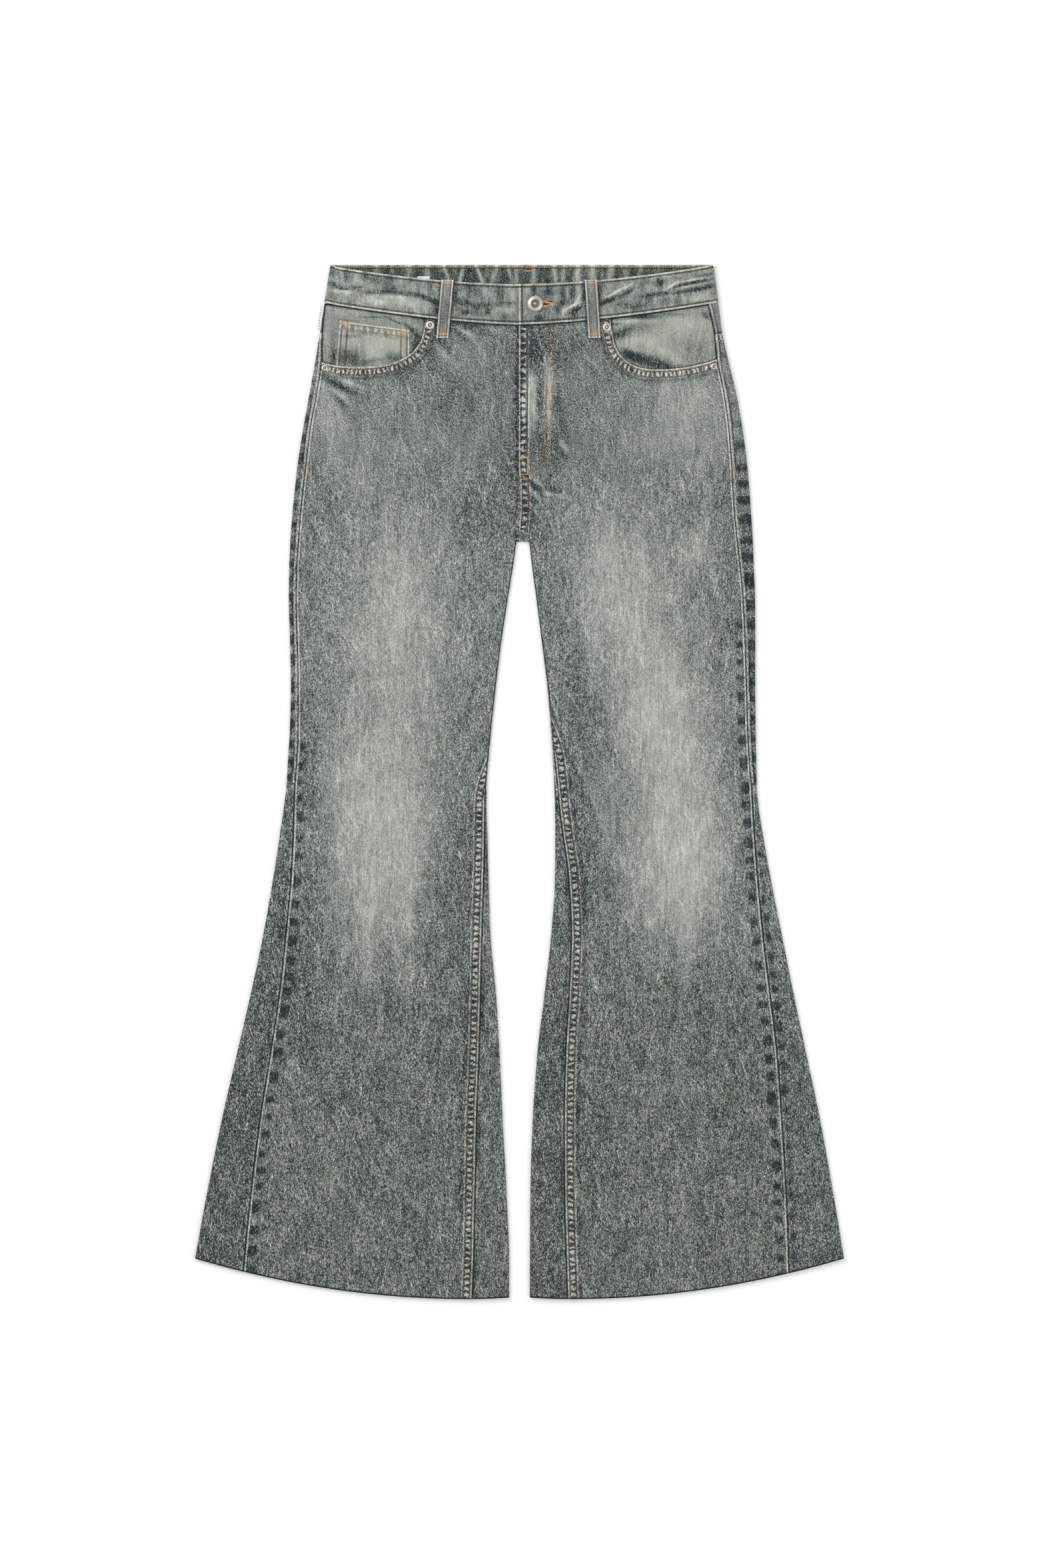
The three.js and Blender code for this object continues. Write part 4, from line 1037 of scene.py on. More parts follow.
def fold(side, column, y, seam_x, strip_steps, arc_steps):
    """Cloth from a seam on the front, flat as far as the fold's circle and round it to the underside.
    Gives the outer and inner points, and the length of cloth from the seam."""
    radius, out, centre_x, centre_z = fold_circle(side, column, y)
    inside = out * (outline(side, column, y) - seam_x)
    strip = np.maximum(0, inside - radius)
    start = np.arccos(np.clip((radius - inside) / radius, 0, 1))
    arc = radius * (start + np.pi / 2)
    lead = strip + 0.14 * arc
    step = np.arange(strip_steps + arc_steps + 1)
    length = np.clip(step / strip_steps, 0, 1) * lead
    length = length + np.clip((step - strip_steps) / arc_steps, 0, 1) * (strip + arc - lead)
    flat = (length < strip) | (step == 0)
    angle = start - (length - strip) / radius
    x = np.where(flat, seam_x + out * length, centre_x + out * radius * np.cos(angle))
    z = np.where(flat, front_top(side, x, y), centre_z + radius * np.sin(angle))
    inner_x = np.where(flat, x, centre_x + out * (radius - CLOTH) * np.cos(angle))
    inner_z = np.where(flat, z - CLOTH, centre_z + (radius - CLOTH) * np.sin(angle))
    y = y + 0 * x
    return np.stack([x, y, z], -1), np.stack([inner_x, y, inner_z], -1), length


def back_panel(side):
    """The panel on one grid: round the outer fold from the outseam, across the underside, and round the
    inner fold to the inseam. Rows start along the yoke seam, and keep leaves out what the insets cover."""
    sign = SIDES[side]
    gap = sign * GAP / 2
    fold_steps = (5, 9)
    shares = np.concatenate([np.linspace(0, 0.95, 44), [0.958, 0.965, 0.972, 0.979, 0.986, 0.993, 1]])
    yoke_rows = 8
    level = np.concatenate([
        np.full(yoke_rows, 404.0),
        np.arange(404, 265, -3.8),
        [CROTCH_SEAM_END, CROTCH + 0.7],
        np.linspace(CROTCH, OUTER_KNEE, 66),
        [-4.5, -8, -11.5, INNER_KNEE],
        np.linspace(-18.6, HEM_LOW, 138),
    ])[:, None]
    passed = np.ones(level.shape)
    passed[:yoke_rows, 0] = np.arange(yoke_rows) / yoke_rows
    low = (passed == 1) & (level <= CROTCH)

    def bend(x):
        """From lines along the yoke's seam over to level lines that bend towards the hem."""
        return mix(yoke_seam(x) - GAP, hem_bend(x, level), passed)

    def around(column):
        """The fold on one side, at the height of each bent line."""
        y = bend(outline(side, column, np.where(passed < 1, 470, level)))
        out = sign if column == "outer" else -sign
        return fold(side, column, y, outline(side, SEAM_OF[column], y) + out * GAP / 2, *fold_steps)

    def place(y):
        """A share of the way from the outer seam to the inner one, or to the seat seam above the crotch."""
        end = np.where(low, under_seam(side, "inner", y) + gap, CENTRE_BACK + gap)
        return mix(under_seam(side, "outer", y) - gap, end, shares)

    x, y = settle(level + 0 * shares, place, bend)
    lift = back_lift(x, y)
    turned = ~low & (level <= CROTCH_SEAM_END) & (np.abs(x - CENTRE_BACK) < CROTCH_TURN["half"])
    upper = lift + CLOTH + CROTCH_TURN["height"] * turned
    outer_fold, inner_fold = around("outer"), around("inner")
    outer = np.concatenate([outer_fold[0], np.stack([x, y, lift], -1), inner_fold[0][:, ::-1]], 1)
    inner = np.concatenate([outer_fold[1], np.stack([x, y, upper], -1), inner_fold[1][:, ::-1]], 1)
    fold_cells = sum(fold_steps) + 1
    last_seat = fold_cells + len(shares) - 1
    cell = np.arange(outer.shape[1] - 1)
    above, below = level[:-1], level[1:]
    inner_kept = (passed[:-1] == 1) & (above <= CROTCH) & (below >= INNER_KNEE)
    keep = np.where(cell < fold_cells, below >= OUTER_KNEE, (cell < last_seat) | inner_kept)
    across, along = outer[..., 0], outer[..., 1]
    column = np.arange(outer.shape[1])
    seat = (column >= fold_cells) & (column < last_seat + 1)
    length = np.concatenate([outer_fold[2], 99 + 0 * x, inner_fold[2][:, ::-1]], 1)
    strip_tone = 0.06 * smooth(300, 420, along) - 0.05
    return wall(
        f"denim_back_{side}",
        outer,
        inner,
        keep,
        fade=np.where(seat, back_fade(across, along), fade(across, along) + strip_tone),
        hue=hue(across, along),
        blot=blots(along, length, 3.4, 30, 21, 1.0 + 2 * sign) * mix(1, 0.5, smooth(340, 420, along)),
        run=along,
        run_seat=across,
        d_seam=length,
        d_top=yoke_seam(across) - GAP - along,
        d_centre=np.where(along > CROTCH, np.abs(across - CENTRE_BACK), 99),
        d_hem=along - hem_bend(across, HEM_LOW),
    )


BACK_LINES = [
    {"seam": "d_seam", "middle": 0.3, "half": 0.6, "shade": -0.42},
    {"seam": "d_seam", "middle": 2.0, "half": 1.0, "shade": 0.26},
    {"seam": "d_seam", "middle": 4.2, "half": 0.8, "shade": -0.30, "broken": (30, 60, 30)},
    {"seam": "d_top", "middle": 0.2, "half": 0.7, "shade": -0.50},
    {"seam": "d_top", "middle": 5.2, "half": 4.4, "soft": 1.0, "shade": 0.18},
    {"seam": "d_centre", "middle": 0.0, "half": 0.6, "shade": -0.25},
    {"seam": "d_centre", "middle": 9.6, "half": 0.6, "shade": 0.14},
    {"seam": "d_hem", "middle": 0.0, "half": 1.5, "soft": 0.6, "shade": -0.80},
]
BACK_LADDERS = [
    {"seam": "d_top", "run": "run_seat", "start": 2.6, "end": 8.2, "pitch": 6.0, "shade": 0.14},
    {"seam": "d_centre", "run": "run", "start": 2.2, "end": 8.2, "pitch": 6.5, "shade": 0.16},
]
BACK_DENIM = denim("denim_back", BACK_LINES, BACK_LADDERS, blotted=0.36)


def back_stitches(side):
    """Rows beside the outseam down to its bartack, below the yoke seam, and on the right beside the
    seat seam. Those on the underside face down."""
    sign = SIDES[side]

    def on_fold(x, y):
        """The height of the back's strip beside the outseam."""
        return front_top(side, x, y)

    y = np.linspace(462, 330, 120)
    path = np.stack([outline(side, "outseam", y) + sign * 4.2, y], 1)
    lines = [stitch_line(path, on_fold, 0.18, 2.9, 2.1, 0.75)]
    run = outline(side, "outseam", 326) + sign * 1.6
    lines.append(bar(run, 332, run + sign * 0.6, 319, on_fold, 0.85, 1.9))
    for inset in (2.6, 8.6):
        near, far = outline(side, "outseam", 468) + sign * 1.2, outline(side, "outer", 468) - sign * 1.4
        x = np.linspace(near, far, 20)
        lines.append(stitch_line(np.stack([x, yoke_seam(x) - inset], 1), on_fold, 0.66, 2.7, 2.1, 0.75))
        x = np.linspace(CENTRE_BACK + sign * 1.5, outline(side, "outer", 468) - sign * 4, 60)
        path = np.stack([x, yoke_seam(x) - inset], 1)
        lines.append(stitch_line(path, back_lift, 0.62, 3, 2.2, 0.8, False, -1))
    if side == "right":
        for inset in (2.4, 8.4):
            y = np.linspace(yoke_seam(CENTRE_BACK) - 2, 262, 60)
            path = np.stack([CENTRE_BACK - inset + 0 * y, y], 1)
            lines.append(stitch_line(path, back_lift, 0.62, 3, 2.2, 0.8, False, -1))
    return lines


for side in SIDES:
    panel = dress(back_panel(side), "denim", BACK_DENIM, f"back_{side}")
    seams = stitching(f"stitches_back_{side}", back_stitches(side))


# KNEE INSETS
# Four long triangles of less washed denim, let into the side seams from the knee down and folded over
# the edge of the leg. They make the flare, and their hems are cut raw.
INSET_LINES = [
    {"seam": "d_seam", "middle": 0.3, "half": 1.1, "shade": -0.55},
    {"seam": "d_seam", "middle": 2.4, "half": 0.6, "shade": 0.14},
    {"seam": "d_top", "middle": 0.3, "half": 0.9, "shade": -0.50},
    {"seam": "d_top", "middle": 5.6, "half": 4.2, "soft": 1.0, "shade": 0.16},
    {"seam": "d_hem", "middle": 0.0, "half": 1.5, "soft": 0.6, "shade": -0.80},
]
INSET_PALEST = 0.40
INSET_TINTS = {
    ("outer", "right"): -0.10,
    ("outer", "left"): -0.03,
    ("inner", "right"): 0.0,
    ("inner", "left"): -0.07,
}
INSET_DENIM = denim("denim_inset", INSET_LINES, blotted=0.30)


def inset(side, column):
    """The triangle on a grid from the front's seam over the fold to the seam on the underside, every
    point at the height of its own bent level line."""
    sign = SIDES[side]
    out = sign if column == "outer" else -sign
    knee = OUTER_KNEE - GAP if column == "outer" else INNER_KNEE - GAP
    level = np.concatenate([np.linspace(knee, HEM_LOW + 2, 200), [HEM_LOW + 1, HEM_LOW]])[:, None]
    fold_steps = (10, 10)
    back_steps = np.arange(1, 9) / 8
    count = sum(fold_steps) + 1 + len(back_steps)

    def whole(y):
        """Outer and inner points at these heights, and their length from the front's seam."""
        front_y, back_y = y[:, : sum(fold_steps) + 1], y[:, sum(fold_steps) + 1 :]
        seam_x = outline(side, SEAM_OF[column], front_y) + out * GAP / 2
        outer, inner, length = fold(side, column, front_y, seam_x, *fold_steps)
        centre = fold_circle(side, column, back_y)[2]
        x = mix(centre, under_seam(side, column, back_y) + out * GAP / 2, back_steps)
        z = edge_lift(back_y)
        outer = np.concatenate([outer, np.stack([x, back_y, z], -1)], 1)
        inner = np.concatenate([inner, np.stack([x, back_y, z + CLOTH], -1)], 1)
        return outer, inner, np.concatenate([length, 99 + 0 * x], 1)

    y = settle(level + np.zeros(count), lambda y: whole(y)[0][..., 0], lambda x: hem_bend(x, level))[1]
    outer, inner, length = whole(y)
    x, y = outer[..., 0], outer[..., 1]
    if column == "outer":
        blot = blots(y, length, 2.5, mix(9, 4, smooth(-150, -20, y)), 20.0, 0.4)
        blot = blot * (1 if side == "left" else 0.45)
    else:
        blot = smooth(9, 2, length) * (0.36 + 0.3 * np.sin(y / 23 + sign))
    return wall(
        f"denim_inset_{column}_{side}",
        outer,
        inner,
        fade=np.minimum(fade(x, y), INSET_PALEST) + INSET_TINTS[column, side],
        hue=hue(x, y),
        blot=blot,
        d_seam=length,
        d_top=knee - y + 0 * x,
        d_hem=y - hem_bend(x, HEM_LOW),
    )


for side in SIDES:
    for column in ("outer", "inner"):
        sign = SIDES[side] if column == "outer" else -SIDES[side]
        panel = dress(inset(side, column), "insert_denim", INSET_DENIM, f"insert_{column}_{side}")
        seams = []
        if column == "outer":
            lines = []
            for gap in (2.4, 8.4):
                y = OUTER_KNEE - gap
                near, far = outline(side, "outseam", y) + sign, outline(side, "outer", y) - sign * 1.2
                x = np.linspace(near, far, 12)
                path = np.stack([x, y + 0 * x], 1)
                lines.append(stitch_line(path, lambda x, y: front_top(side, x, y), 0.6, 2.7, 2.1, 0.75))
            seams.append(stitching(f"stitches_inset_{side}", lines))


# YOKE
# Two shaped pieces between the back panels and the waistband. They wrap round the side folds, so a
# strip of each shows on the front, beside the outseam.
YOKE_DENIM = denim("denim_yoke", BACK_LINES[:3] + BACK_LINES[5:7], grainy=0.7, blotted=0.2)


def yoke(side):
    """Half of the yoke on a grid: round the side fold from the outseam, then across to the seat seam.
    The strip on the front drops with the waistband's edge."""
    sign = SIDES[side]
    share = np.linspace(0, 1, 22)[:, None]
    top = WAIST_BOTTOM - GAP
    y = mix(top, yoke_seam(outline(side, "outer", 473)), share)
    seam_x = outline(side, "outseam", y) + sign * GAP / 2
    outer, inner, length = fold(side, "outer", y, seam_x, 5, 9)
    drop = (1 - share) * (band_bottom(outer[:, :6, 0]) - WAIST_BOTTOM)
    outer[:, :6, 1] += drop
    inner[:, :6, 1] += drop
    x = mix(outer[:, -1:, 0], CENTRE_BACK + sign * GAP / 2, np.arange(1, 61) / 60)
    y = mix(top, yoke_seam(x), share)
    across = np.stack([x, y, BACK_LIFT + 0 * x], -1)
    outer = np.concatenate([outer, across], 1)
    inner = np.concatenate([inner, across + [0, 0, CLOTH]], 1)
    x, y = outer[..., 0], outer[..., 1]
    seat = np.arange(outer.shape[1]) > 14
    return wall(
        f"denim_yoke_{side}",
        outer,
        inner,
        fade=np.where(seat, back_fade(x, y), 0.47),
        hue=hue(x, y),
        blot=smooth(7, 2, np.concatenate([length, 99 + 0 * across[..., 0]], 1)) * smooth(500, 480, y),
        d_seam=np.concatenate([length, 99 + 0 * across[..., 0]], 1),
        d_centre=np.abs(x - CENTRE_BACK),
    )


for side in SIDES:
    sign = SIDES[side]
    panel = dress(yoke(side), "denim", YOKE_DENIM, f"yoke_{side}")
    y = np.linspace(band_bottom(sign * 204) - 2, yoke_seam(sign * 210) + 1, 30)
    path = np.stack([outline(side, "outseam", y) + sign * 4.2, y], 1)
    lines = [stitch_line(path, lambda x, y: front_top(side, x, y), 0.3, 2.9, 2.1, 0.75)]
    if side == "right":
        for inset_x in (2.4, 8.4):
            run = np.linspace(500, yoke_seam(CENTRE_BACK) + 1, 30)
            path = np.stack([CENTRE_BACK - inset_x + 0 * run, run], 1)
            lines.append(stitch_line(path, lambda x, y: BACK_LIFT + 0 * x, 0.62, 3, 2.2, 0.8, False, -1))
    seams = stitching(f"stitches_yoke_{side}", lines)


# WAISTBAND
# One doubled strip of denim, stitched all round. It starts at the buttoned end on the left front, goes
# round the back and ends under itself, and has a keyhole buttonhole for the tack button.
BAND = 2.2
WAIST_LOFT, OVERLAP_TOP, UNDERLAP_TOP = 7.4, 8.5, 6.0
SLOT = {"start": 13.6, "end": 34.0, "half": 1.9}
UNDERLAP_END = 27.0


# Where the front band is creased, in wash marks and in painted light and shade of its folds: middle, half
# width, half height, lean, shade and squareness.
BAND_WASH_AND_FOLD_SHADE = np.array([
    [-196, 534, 4, 4, 0, -0.18, 1.0],
    [-181, 534, 3, 9, 0, -0.22, 1.0],
    [-162, 532, 4, 6, 0, -0.22, 1.0],
    [-194, 522, 8, 2.5, -22, -0.28, 1.2],
    [-186, 515, 14, 1.8, -6, 0.16, 1.2],
    [-176, 518.5, 12, 1.6, 4, -0.26, 1.2],
    [-150, 527, 9, 4, -5, -0.14, 1.0],
    [-136, 529, 7, 4, 0, -0.14, 1.0],
    [-150, 514.5, 16, 2.2, 2, -0.24, 1.2],
    [-134, 519, 8, 3, -8, -0.18, 1.0],
    [-122, 513, 14, 2.5, -4, -0.22, 1.2],
    [-130, 509, 18, 1.6, -4, 0.12, 1.2],
    [-98, 508, 14, 2.2, -20, -0.36, 1.3],
    [-88, 502, 5, 3, -30, -0.30, 1.2],
    [-88, 494, 4, 4, 0, -0.25, 1.0],
    [-113, 527, 6, 3, 0, -0.10, 1.0],
    [-93, 520, 3, 8, 0, -0.18, 1.0],
    [-147, 504, 14, 4, -8, 0.12, 1.2],
    [-118, 503, 16, 4, -10, 0.12, 1.2],
    [-68, 512, 4, 14, 0, -0.20, 1.2],
    [-50, 517, 4, 6, 0, -0.20, 1.0],
    [-60, 504, 6, 4, 0, -0.22, 1.0],
    [-25, 502, 20, 1.8, 2, -0.26, 1.3],
    [-48, 500, 8, 2, -10, -0.20, 1.2],
    [-56, 493, 5, 4, 0, -0.22, 1.0],
    [-45, 496, 3, 4, 0, -0.16, 1.0],
    [-33, 494, 3, 4, 0, -0.18, 1.0],
    [-21, 513, 4, 7, 0, -0.18, 1.0],
    [-36, 514, 3, 6, 0, 0.14, 1.0],
    [-8, 513, 4, 8, 0, 0.14, 1.0],
    [-14, 495, 8, 4, 0, 0.14, 1.2],
    [-27, 493, 3, 4, 0, 0.12, 1.0],
    [-50, 488, 10, 2, -3, 0.10, 1.2],
    [7, 515, 4, 5, 0, 0.12, 1.0],
    [15, 517, 2.5, 6, 0, -0.26, 1.0],
    [20, 487, 6, 3, 10, -0.20, 1.0],
    [30, 514, 5, 6, 0, -0.22, 1.0],
    [46, 512, 3, 6, 0, -0.26, 1.0],
    [46, 503, 5, 3, 0, -0.26, 1.0],
    [55, 514, 3, 6, 0, -0.22, 1.0],
    [56, 500, 9, 1.3, 28, 0.30, 1.4],
    [62, 508, 6, 1.3, 55, 0.22, 1.4],
    [60, 496, 8, 2, 28, -0.20, 1.2],
    [39, 511, 2.5, 7, 0, 0.12, 1.0],
    [50, 512, 1.8, 6, 0, 0.16, 1.0],
    [61, 515, 2, 6, 0, 0.14, 1.0],
    [68, 512, 2.5, 10, 0, -0.24, 1.2],
    [40, 496, 3, 5, 10, -0.20, 1.0],
    [47, 495, 3, 5, 0, 0.12, 1.0],
    [57, 491, 4, 5, 0, -0.18, 1.0],
    [84.5, 512, 2.5, 14, 0, -0.26, 1.2],
    [94, 505.5, 12, 2.2, 22, -0.36, 1.3],
    [112, 513, 10, 2, 30, -0.24, 1.2],
    [99, 513, 15, 1.3, 30, 0.26, 1.4],
    [115, 521, 6, 1.3, 35, 0.18, 1.4],
    [108, 502, 8, 3.5, 0, -0.14, 1.0],
    [120, 499, 10, 3, 10, -0.16, 1.0],
    [148, 524, 5, 4.5, 0, -0.28, 1.2],
    [131, 524, 4, 5, 0, -0.12, 1.0],
    [158, 516, 10, 2, 22, -0.26, 1.2],
    [182, 524, 20, 1.8, 12, -0.32, 1.3],
    [160, 521, 10, 1.2, 30, 0.22, 1.4],
    [184, 527.5, 18, 1.3, 11, 0.24, 1.4],
    [140, 511, 12, 1.8, 8, -0.22, 1.2],
    [178, 515.5, 22, 1.8, 9, -0.28, 1.3],
    [196, 519.5, 10, 1.6, 12, -0.20, 1.2],
    [172, 519.5, 22, 1.3, 11, 0.18, 1.4],
    [134, 505, 5, 5, 0, -0.12, 1.0],
    [153, 505, 4, 5, 0, -0.16, 1.0],
    [166, 504, 3, 5, 0, -0.12, 1.0],
    [186, 508, 12, 4, 4, 0.12, 1.2],
    [196, 532, 8, 1.8, 12, -0.20, 1.2],
    [150, 531, 30, 2, 8, 0.06, 1.2],
])

# Pale creases up the inside of the back band: place at its top, half width, lean and shade.
LINING_CREASES = np.array([
    [-172, 3, 0.2, 0.14],
    [-150, 3, -0.2, 0.18],
    [-134, 2, 0.1, 0.14],
    [-115, 3, 0.1, 0.26],
    [-97, 2.5, 0, 0.32],
    [-80, 2, -0.35, 0.32],
    [-68, 2, 0, 0.10],
    [-59, 2, 0.2, 0.34],
    [-46, 2.2, -0.4, 0.44],
    [-33, 2, 0.2, 0.10],
    [-24, 2.2, 0.25, 0.32],
    [-13, 2, -0.3, 0.28],
    [-3, 2.4, 0, 0.30],
    [15, 3, 0, 0.30],
    [25, 1.5, 0, 0.12],
    [36, 2.6, -0.1, 0.36],
    [47, 2, 0.1, 0.28],
    [61, 4, 0, 0.36],
    [77, 4.5, 0, 0.42],
    [87, 1.8, 0, 0.2],
    [97, 3.2, 0.2, 0.32],
    [112, 2.4, 0, 0.22],
    [127, 3, 0.1, 0.24],
    [146, 3, 0, 0.20],
    [166, 4, 0.1, 0.20],
])


def band_height(x, y):
    """Height of the front waistband's face: up over the button's end, down under it on the right."""
    left = mix(OVERLAP_TOP, WAIST_LOFT, smooth(38, 62, x))
    return np.where(x > CENTRE_FRONT - 0.1, left, mix(WAIST_LOFT, UNDERLAP_TOP, smooth(-36, -8, x)))


def band_tone(x, y):
    """The band's wash, paler towards the wearer's right, with its creases, partly painted light and shade
    of its folds, and the painted shadow beside the front loops.
    """
    base = mix(0.56, 0.46, smooth(-92, -72, x)) + 0.06 * smooth(72, 90, x)
    return base + 1.8 * wash_and_shade_patches(x, y, BAND_WASH_AND_FOLD_SHADE) + loop_painted_shadow(x, y)


def lining_tone(x, y):
    """The inside of the back band: dark, with a slanting bell for each pale crease."""
    tone = 0.15 + 0.05 * np.sin(x / 7 + np.sin(x / 19))
    for at, wide, lean, shade in LINING_CREASES:
        tone = tone + 1.5 * shade * np.exp(-(((x - at + lean * (WAIST_TOP - y)) / wide) ** 2))
    return tone


def waistband():
    """The strip on a grid: stations along it from the buttoned end, and rows across it. The ends of each
    row are rounded over, and the slot is the cells that keep leaves out."""
    before_slot = [-0.7, 0, 1, 2.4, 4, 6, 8, 10, 12]
    button_end = [*before_slot, SLOT["start"], *np.linspace(15.5, 32, 10), SLOT["end"]]
    left_x = np.concatenate([button_end, np.arange(36, 200, 1.6)])
    back_x = np.arange(197, -193, -1.9)
    right_x = np.concatenate([np.arange(-192.6, UNDERLAP_END, 1.6), [UNDERLAP_END]])
    angle = np.radians(np.linspace(90, -90, 15))
    half = SLOT["half"] / 42
    edge, slot = [0, 0.012, 0.03, 0.055, 0.09], [0.5 - half, 0.5 + half]
    share = np.concatenate([edge, np.linspace(0.12, 0.43, 9), slot])
    share = np.concatenate([share, 1 - share[:-2][::-1]])[:, None]
    near = np.minimum(share, 1 - share) * 41
    rolled = 0.9 * (1 - np.sqrt(1 - np.clip(1 - near / 1.4, 0, 1) ** 2))

    def front(x, top):
        """Outer and inner points of the front's part, slightly rippled, with its edges rounded over."""
        y = mix(band_bottom(x), band_top(x), share)
        ripple = 0.18 * np.sin(x / 6 + y / 5) * np.sin(x / 11 - y / 9)
        z = top + ripple * smooth(0, 5, near)
        return np.stack([x + 0 * y, y, z - rolled], -1), np.stack([x + 0 * y, y, top - BAND + rolled], -1)

    def side_fold(side, turn):
        """Outer and inner points round a half circle at the side, one ring for each face."""
        radius = (WAIST_LOFT - BACK_LIFT) / 2
        y = mix(WAIST_BOTTOM, WAIST_TOP, share) + 0 * turn
        centre = outline(side, "outer", y) - SIDES[side] * radius
        rings = [radius - rolled, radius - BAND + rolled]
        made = []
        for ring in rings:
            x = centre + SIDES[side] * ring * np.cos(turn)
            made.append(np.stack([x, y, BACK_LIFT + radius + ring * np.sin(turn)], -1))
        return made

    y = mix(WAIST_BOTTOM, WAIST_TOP, share) + 0 * back_x
    x = back_x + 0 * y
    back_outer = np.stack([x, y, BACK_LIFT + rolled + 0 * x], -1)
    back = [back_outer, np.stack([x, y, BACK_LIFT + BAND - rolled + 0 * x], -1)]
    left_top = mix(OVERLAP_TOP, WAIST_LOFT, smooth(38, 62, left_x))
    right_top = mix(WAIST_LOFT, UNDERLAP_TOP, smooth(-36, -8, right_x))
    parts = [
        front(left_x, left_top),
        side_fold("left", angle),
        back,
        side_fold("right", angle[::-1]),
        front(right_x, right_top),
    ]
    outer = np.concatenate([part[0] for part in parts], 1)
    inner = np.concatenate([part[1] for part in parts], 1)
    keep = np.ones((outer.shape[0] - 1, outer.shape[1] - 1), bool)
    row = int(np.argmin(np.abs(share[:, 0] - (0.5 - half))))
    first, last = [int(np.argmin(np.abs(left_x - SLOT[end]))) for end in ("start", "end")]
    keep[row, first:last] = False
    x, y = outer[..., 0], outer[..., 1]
    end = np.full(outer.shape[1], 99.0)
    end[: len(left_x)] = left_x - CENTRE_FRONT
    return wall(
        "denim_waistband",
        outer,
        inner,
        keep,
        fade=(band_tone(x, y), lining_tone(x, y)),
        hue=np.full(x.shape, 0.3),
        d_edge=near + 0 * x,
        d_end=end,
    )


BAND_LINES = [
    {"seam": "d_edge", "middle": 0.8, "half": 1.0, "shade": 0.30},
    {"seam": "d_edge", "middle": 2.9, "half": 0.9, "shade": -0.38},
    {"seam": "d_end", "middle": 0.8, "half": 1.0, "shade": 0.30},
    {"seam": "d_end", "middle": 3.4, "half": 0.9, "shade": -0.38},
]
BAND_DENIM = denim("denim_band", BAND_LINES, grainy=0.6, mottled=0.6)
band = dress(waistband(), "denim", BAND_DENIM, "waistband")

lines = []
for middle, inset_y in ((band_top, -2.9), (band_bottom, 2.9)):
    for start, stop in ((CENTRE_FRONT + 3.4, 206), (-200, CENTRE_FRONT - 1)):
        x = np.linspace(start, stop, 200)
        lines.append(stitch_line(np.stack([x, middle(x) + inset_y], 1), band_height, 0.50, 2.9, 1.8, 0.9))
y = np.linspace(band_bottom(2) + 2.4, band_top(2) - 2.5, 30)
lines.append(stitch_line(np.stack([CENTRE_FRONT + 3.4 + 0 * y, y], 1), band_height, 0.3, 2.9, 2.2, 0.8))
x = np.linspace(-196, 200, 200)
path = np.stack([x, 540.7 + 0 * x], 1)
lines.append(stitch_line(path, lambda x, y: BACK_LIFT + BAND + 0 * x, 0.86, 2.6, 2.3, 0.9))
lines.append(bar(6, 536.9, 15, 536.9, lambda x, y: BACK_LIFT + BAND + 0 * x, 0.8, 1.5))
for inset_y in (2.4, 37.8):
    path = np.stack([x, WAIST_BOTTOM + inset_y + 0 * x], 1)
    lines.append(stitch_line(path, lambda x, y: BACK_LIFT + 0 * x, 0.2, 2.9, 2.2, 0.8, False, -1))
band_middle = (band_bottom(16.5) + band_top(16.5)) / 2
turn = np.linspace(0, 2 * np.pi, 200)
hole_x = 23.5 + 13.5 * np.cos(turn)
hole_y = band_middle - 0.2 + 3.0 * np.sin(turn) * (1 - 0.72 * smooth(20, 37, hole_x))
lines.append(stitch_line(np.stack([hole_x, hole_y], 1), band_height, 0.86, 0.62, 2.0, 0.7, True))
seams = stitching("stitches_waistband", lines)


# POCKET FACINGS AND COIN POCKET
# Under each pocket mouth lies a denim facing, and on the right one a small square patch pocket with a
# doubled top. Both are sewn to the pocket bags out of sight under the front.
PATCH = 1.0
FACING_UNDER = 7.0
COIN = {
    "left": -188.6,
    "right": -115.8,
    "top_left": 484.0,
    "top_right": 474.6,
    "bottom": 432.0,
    "slant": 4.4,
}

